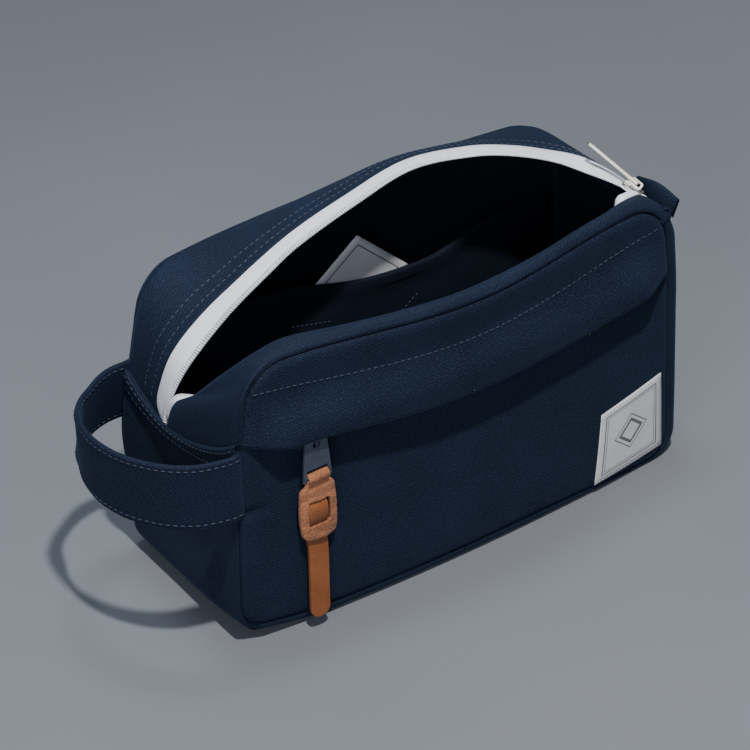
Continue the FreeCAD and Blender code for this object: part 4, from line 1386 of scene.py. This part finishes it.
def lining():
    """The lining's two faces, and its strip round the ends and base."""
    def face(name, front, *nodes):
        z_top = HEIGHT - 4.0
        rows = face_rows(lambda f: INNER[2], lambda f: z_top, 60, 40, lambda x, z: HALF_DEPTH - 2.6,
                         roll=2.0, depth=1.0, front=front, shape=INNER, wave=1.6, seed=1.7 if front else 9.2)
        if front:
            rows = [list(reversed(row)) for row in rows]
        own(cloth_grid(name, rows, LINING, 0.5, uv=face_uv(rows)), "bag", "navy_lining", *nodes)

    face("lining_back_cloth", False, "lining_back")
    face("lining_front_cloth", True, "lining_front", "pocket_back_panel")
    rows = []
    for k in range(101):
        q = mix(0.05, RIGHT_Q, k / 100)
        (x, z), n = ring(q, INNER)
        row = []
        for t in range(13):
            y = mix(-HALF_DEPTH + 3.4, HALF_DEPTH - 3.4, t / 12)
            sag = wall_sag(q, y)
            p = Vector((x + lean(x, y, z) - n[0] * sag, y, max(2.0, z - n[1] * sag)))
            if x < 0:
                p.z += dip(y) * smooth((z - 52) / 45)
            row.append(p + UP * (0.8 * max(0, -n[1]) * (1 + noise.noise(p / 25))))
        rows.append(list(reversed(row)))
    own(cloth_grid("lining_gusset_cloth", rows, LINING, 0.5), "bag", "navy_lining", "lining_gusset")


# The slip pocket's hanging rim, as (x, height)
POCKET_RIM = [(-112, 116), (-80, 113), (-34.6, 107.6), (-22, 103.7), (-4.5, 98.6), (11.2, 95.9), (26.6, 94.6),
              (42.7, 94.6), (52.4, 97.2), (62, 100.4), (75, 102.9), (92, 102.9), (113, 100)]
POCKET_CUT = (0.2225, 0.100)  # its flat size, in metres


def inner_pocket():
    """A slack slip pocket on the back lining, its hemmed rim hanging in a curve."""
    rows = []
    count = 100
    for k in range(count + 1):
        x = mix(-111.0, 111.5, k / count)
        top = level(POCKET_RIM, x)
        gape = smooth((111 - abs(x)) / 30)
        row = [Vector((x, mix(41.0, 38.4, gape), top - 2.0)), Vector((x, mix(41.6, 39.0, gape), top))]
        row += [Vector((x, mix(41.4, 37.4, gape), top + 0.6)), Vector((x, mix(41.0, 36.2, gape), top - 0.6))]
        for t in range(1, 15):
            z = mix(top - 0.6, 5.0, t / 14)
            slack = gape * math.sin(math.pi * min(1.0, (z + 18) / (top + 36))) * 5.5
            fold = 1.6 * gape * noise.noise(Vector((x / 26, 3.3, z / 40)))
            row.append(Vector((x + lean(x, 40, z), 41.6 - slack - fold, z)))
        rows.append(row)
    pocket = cloth_grid("slip_pocket", rows, LINING, 0.8)
    own(pocket, "bag", "navy_lining", "inner_pocket", "inner_pocket_hem")
    tacks = []
    for name, a, b in (("slip_pocket_tack_left", (-36, 34.6, 89.2), (-15, 34.2, 84.3)),
                       ("slip_pocket_tack_right", (20, 33.6, 74.4), (32, 34.2, 81.5))):
        line = [Vector(a).lerp(Vector(b), t / 8) for t in range(9)]
        tack = stitches(name, line, [Vector((0, -1, 0.2))] * 9, THREAD, pitch=2.4, length=1.5, fat=0.3)
        tacks.append(own(tack, "bag", "navy_lining"))
    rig.sheet(pocket, flat=POCKET_CUT, held="hung", rests_on=["lining_back_cloth"], with_pieces=tacks)


def pocket_tapes():
    """The pocket zip's two tapes, under the flap."""
    low, high = box_mm("pocket_zip_tape_lower")
    top = box_mm("pocket_zip_tape_upper")
    y = (low.y + high.y) / 2
    for name, z0, z1, node in (("pocket_tape_lower", low.z, high.z, "pocket_zip_tape_lower"),
                               ("pocket_tape_upper", top[0].z, top[1].z, "pocket_zip_tape_upper")):
        rows = [[Vector((mix(low.x, high.x, i / 60), y - 0.3, mix(z0, z1, j / 5))) for i in range(61)]
                for j in range(6)]
        own(cloth_grid(name, rows, NAVY_TAPE, 0.6), "bag", "navy_zip_tape", node)


# ---- the leather pull ----

def slab_piece(name, outline_points, holes, y_mid, thick, material, bend=None, round_by=0.55):
    """A flat piece cut from sheet: outline_points and holes are (x, z) loops; its edges are rounded."""
    curve = bpy.data.curves.new(name, "CURVE")
    curve.dimensions = "2D"
    curve.fill_mode = "BOTH"
    for loop in [outline_points] + holes:
        spline = curve.splines.new("POLY")
        spline.points.add(len(loop) - 1)
        for point, (x, z) in zip(spline.points, loop):
            point.co = (x * MM, z * MM, 0, 1)
        spline.use_cyclic_u = True
    curve.extrude = (thick / 2 - round_by) * MM
    curve.bevel_depth = round_by * MM
    curve.bevel_resolution = 3
    curve.offset = -round_by * MM
    temp = bpy.data.objects.new(name + "_cut", curve)
    bpy.context.scene.collection.objects.link(temp)
    graph = bpy.context.evaluated_depsgraph_get()
    mesh = bpy.data.meshes.new_from_object(temp.evaluated_get(graph), depsgraph=graph)
    bpy.data.objects.remove(temp)
    work = bmesh.new()
    work.from_mesh(mesh)
    bmesh.ops.triangulate(work, faces=work.faces)
    bmesh.ops.subdivide_edges(work, edges=[e for e in work.edges if e.calc_length() > 1.6 * MM], cuts=3,
                              use_grid_fill=False)
    bmesh.ops.triangulate(work, faces=work.faces)
    bmesh.ops.remove_doubles(work, verts=work.verts, dist=0.01 * MM)
    bmesh.ops.recalc_face_normals(work, faces=work.faces)
    for v in work.verts:
        x, z, depth = v.co.x / MM, v.co.y / MM, v.co.z / MM
        y = y_mid - depth + (bend(x, z) if bend else 0.0)
        v.co = Vector((x, y, z)) * MM
    bmesh.ops.recalc_face_normals(work, faces=work.faces)
    work.to_mesh(mesh)
    work.free()
    mesh.materials.clear()
    mesh.materials.append(material)
    mesh.polygons.foreach_set("use_smooth", [True] * len(mesh.polygons))
    obj = bpy.data.objects.new(name, mesh)
    bpy.context.scene.collection.objects.link(obj)
    return obj


def rounded_loop(points, radii, steps=6):
    """A closed loop of (x, z) points with each corner rounded."""
    loop = []
    count = len(points)
    for k, (p, r) in enumerate(zip(points, radii)):
        p = Vector(p)
        before, after = Vector(points[k - 1]) - p, Vector(points[(k + 1) % count]) - p
        a, b = before.normalized(), after.normalized()
        r = min(r, before.length * 0.49, after.length * 0.49)
        for t in range(steps + 1):
            s = t / steps
            loop.append(tuple((p + a * r) * (1 - s) ** 2 + p * 2 * s * (1 - s) + (p + b * r) * s ** 2))
    return loop


# The pull's outline and its hole, as (x, z) from the middle of the pocket's tab, with their corner radii
HEAD_OUTLINE = [(-5.4, 78.0), (-5.6, 75.6), (-8.9, 72.6), (-9.6, 61.0), (-8.8, 46.5), (8.4, 46.0),
                (9.0, 60.0), (8.2, 73.4), (5.2, 76.0), (5.0, 78.0)]
HEAD_RADII = [0.6, 2, 4, 5, 5.5, 5.5, 5, 4, 2, 0.6]
HEAD_HOLE = [(-5.3, 53.6), (5.3, 53.6), (5.4, 66.2), (-5.2, 66.4)]
# The tail's way down through the hole, as (distance behind the pull's middle, z)
TAIL_WAY = [(1.1, 73.0), (1.3, 69.0), (0.9, 66.4), (-0.7, 63.6), (-1.2, 60.0), (-0.7, 56.4), (0.9, 53.4),
            (1.5, 50.5), (1.4, 46.5), (0.5, 42.0), (-0.5, 32.0), (-1.6, 20.0), (-2.2, 12.0), (-2.6, 6.2)]
TAIL_HALF = 4.8
TAIL_CUT_WIDTH = 0.010  # its flat width, in metres


def pull_middle_y():
    low, high = box_mm("leather_pull")
    return (low.y + high.y) / 2 + 0.6


def leather_head():
    """The flat head, cut from thick suede, with worn faces."""
    def worn(x, z):
        fine = 0.45 * noise.noise(Vector((x / 3.2, z / 3.2, 1.0))) + 0.2 * noise.noise(Vector((x, z, 5.0)))
        return fine - 0.5 * math.cos(math.pi * (x - PULL_X) / 20)

    outline = [(x + PULL_X, z) for x, z in rounded_loop(HEAD_OUTLINE, HEAD_RADII)]
    hole = [(x + PULL_X, z) for x, z in rounded_loop(HEAD_HOLE, [1.2] * len(HEAD_HOLE))]
    piece = slab_piece("leather_head", outline, [hole], pull_middle_y(), 2.3, SUEDE, worn)
    own(piece, "leather_pull", "tan_leather", "leather_pull")


def leather_tail():
    """The thin strip laced through the head, with a rounded tip, hanging a little off the cloth."""
    y = pull_middle_y()
    path = along([Vector((0, y + behind, z)) for behind, z in TAIL_WAY], 70)
    rows = []
    tip = path[-1].z
    for p in path:
        wide = TAIL_HALF * math.sqrt(max(0.02, 1 - max(0.0, 1 - (p.z - tip) / 4.6) ** 2))
        middle = PULL_X - 0.9 - 2.3 * smooth((46 - p.z) / 40)
        rows.append([Vector((middle + wide * mix(-1, 1, t / 12), p.y, p.z)) for t in range(13)])
    cloth = cloth_grid("leather_tail", rows, GRAIN, 1.7, offset=0.0)
    rounded = cloth.modifiers.new("edges", "BEVEL")
    rounded.width = 0.45 * MM
    rounded.segments = 3
    rounded.limit_method = "ANGLE"
    rounded.angle_limit = math.radians(50)
    apply_modifiers(cloth)
    own(cloth, "leather_pull", "tan_leather")
    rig.sheet(cloth, flat=(TAIL_CUT_WIDTH, length_of(path) * MM), held="hung", rests_on=["leather_head"])


def leather_loop():
    """The loop at the head's top, round the bar of the pocket's tab."""
    low, high = box_mm("pocket_pull_tab")
    bar_y = (low.y + high.y) / 2
    bar_z = box_mm("leather_pull")[1].z - 2.8
    rows = []
    for k in range(25):
        a = math.radians(mix(-75, 255, k / 24))
        centre = Vector((PULL_X, bar_y - 1.7 * math.cos(a), bar_z - 0.5 + 1.6 * math.sin(a)))
        row = []
        for t in range(11):
            uneven = 0.12 * noise.noise(Vector((t, a * 3, 0)))
            row.append(centre + Vector((mix(-5.1, 5.1, t / 10), uneven, 0)))
        rows.append(row)
    loop = cloth_grid("leather_loop", rows, SUEDE, 1.5, offset=0.0, rounds=1)
    own(loop, "leather_pull", "tan_leather")


# ---- stage ----

def lamp(name, where, width, power, colour):
    """A round area light, aimed at the bag's middle."""
    data = bpy.data.lights.new(name, "AREA")
    data.shape = "DISK"
    data.size = width
    data.energy = power
    data.color = colour
    made = bpy.data.objects.new(name, data)
    bpy.context.scene.collection.objects.link(made)
    made.location = where
    made.rotation_euler = (Vector((0, 0, 0.07)) - Vector(where)).to_track_quat("-Z", "Y").to_euler()
    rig.stage(made)


def studio():
    """A plain floor, soft surroundings and three lights. Places and widths are in metres."""
    bpy.ops.mesh.primitive_plane_add(size=3.0, location=(0, 0.4, 0))
    floor = bpy.context.object
    floor.name = "floor"
    floor.data.materials.append(plain_floor())
    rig.stage(floor)
    world = bpy.data.worlds.new("studio")
    bpy.context.scene.world = world
    world.use_nodes = True
    background = world.node_tree.nodes["Background"]
    background.inputs["Color"].default_value = (0.55, 0.62, 0.75, 1)
    background.inputs["Strength"].default_value = 0.3
    lamp("key", (-0.15, -0.48, 1.32), 0.06, 21.0, (1.0, 0.98, 0.95))
    lamp("fill_left", (-0.95, -0.75, 0.55), 0.7, 6.4, (0.88, 0.93, 1.0))
    lamp("soft_top", (0.05, 0.15, 1.30), 0.3, 5.0, (0.85, 0.92, 1.0))


# The camera turns about this point, in metres, from this far away
LOOK_AT, DISTANCE = Vector((-0.0165, 0, 0.0742)), 1.326
AZIMUTH, ELEVATION, CAMERA_ROLL = math.radians(33.4), math.radians(34.7), math.radians(-2.24)


def camera():
    """The camera, turned about LOOK_AT and rolled a little."""
    level_share = math.cos(ELEVATION)
    back = Vector((-math.sin(AZIMUTH) * level_share, -math.cos(AZIMUTH) * level_share, math.sin(ELEVATION)))
    data = bpy.data.cameras.new("camera")
    data.sensor_width = 36.0
    data.lens = 144.0
    data.clip_start = 0.01
    made = bpy.data.objects.new("camera", data)
    bpy.context.scene.collection.objects.link(made)
    turn = (-back).to_track_quat("-Z", "Y").to_matrix().to_4x4() @ Matrix.Rotation(CAMERA_ROLL, 4, "Z")
    made.matrix_world = Matrix.Translation(LOOK_AT + back * DISTANCE) @ turn
    bpy.context.scene.camera = made


def dress_cad():
    """Materials for the hard CAD pieces that stay in view."""
    looks = {"main_slider_body": ZIP_METAL, "main_pull": ZIP_METAL, "main_zip_stop": ZIP_METAL,
             "pocket_slider_body": COATED, "pocket_pull_link": COATED, "pocket_pull_tab": COATED,
             "pocket_zip_stops": ZIP_METAL, "pocket_zip_coil": NAVY_COIL, "main_zip_joined_coil": WHITE_COIL}
    for name, material in looks.items():
        mesh = frame["nodes"][name].data
        mesh.materials.clear()
        mesh.materials.append(material)


pocket_front()
flap()
back_face()
labels()
gusset()
left_band()
handle()
end_tab()
rear_strip()
rear_zip()
front_strip()
joined_tape()
lining()
inner_pocket()
pocket_tapes()
leather_head()
leather_tail()
leather_loop()
dress_cad()
studio()
camera()
boxes = [[list(corner) for corner in FRAME_BOX], [list(corner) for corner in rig.bounds()]]
with open("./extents.json", "w") as out_file:
    json.dump(boxes, out_file)
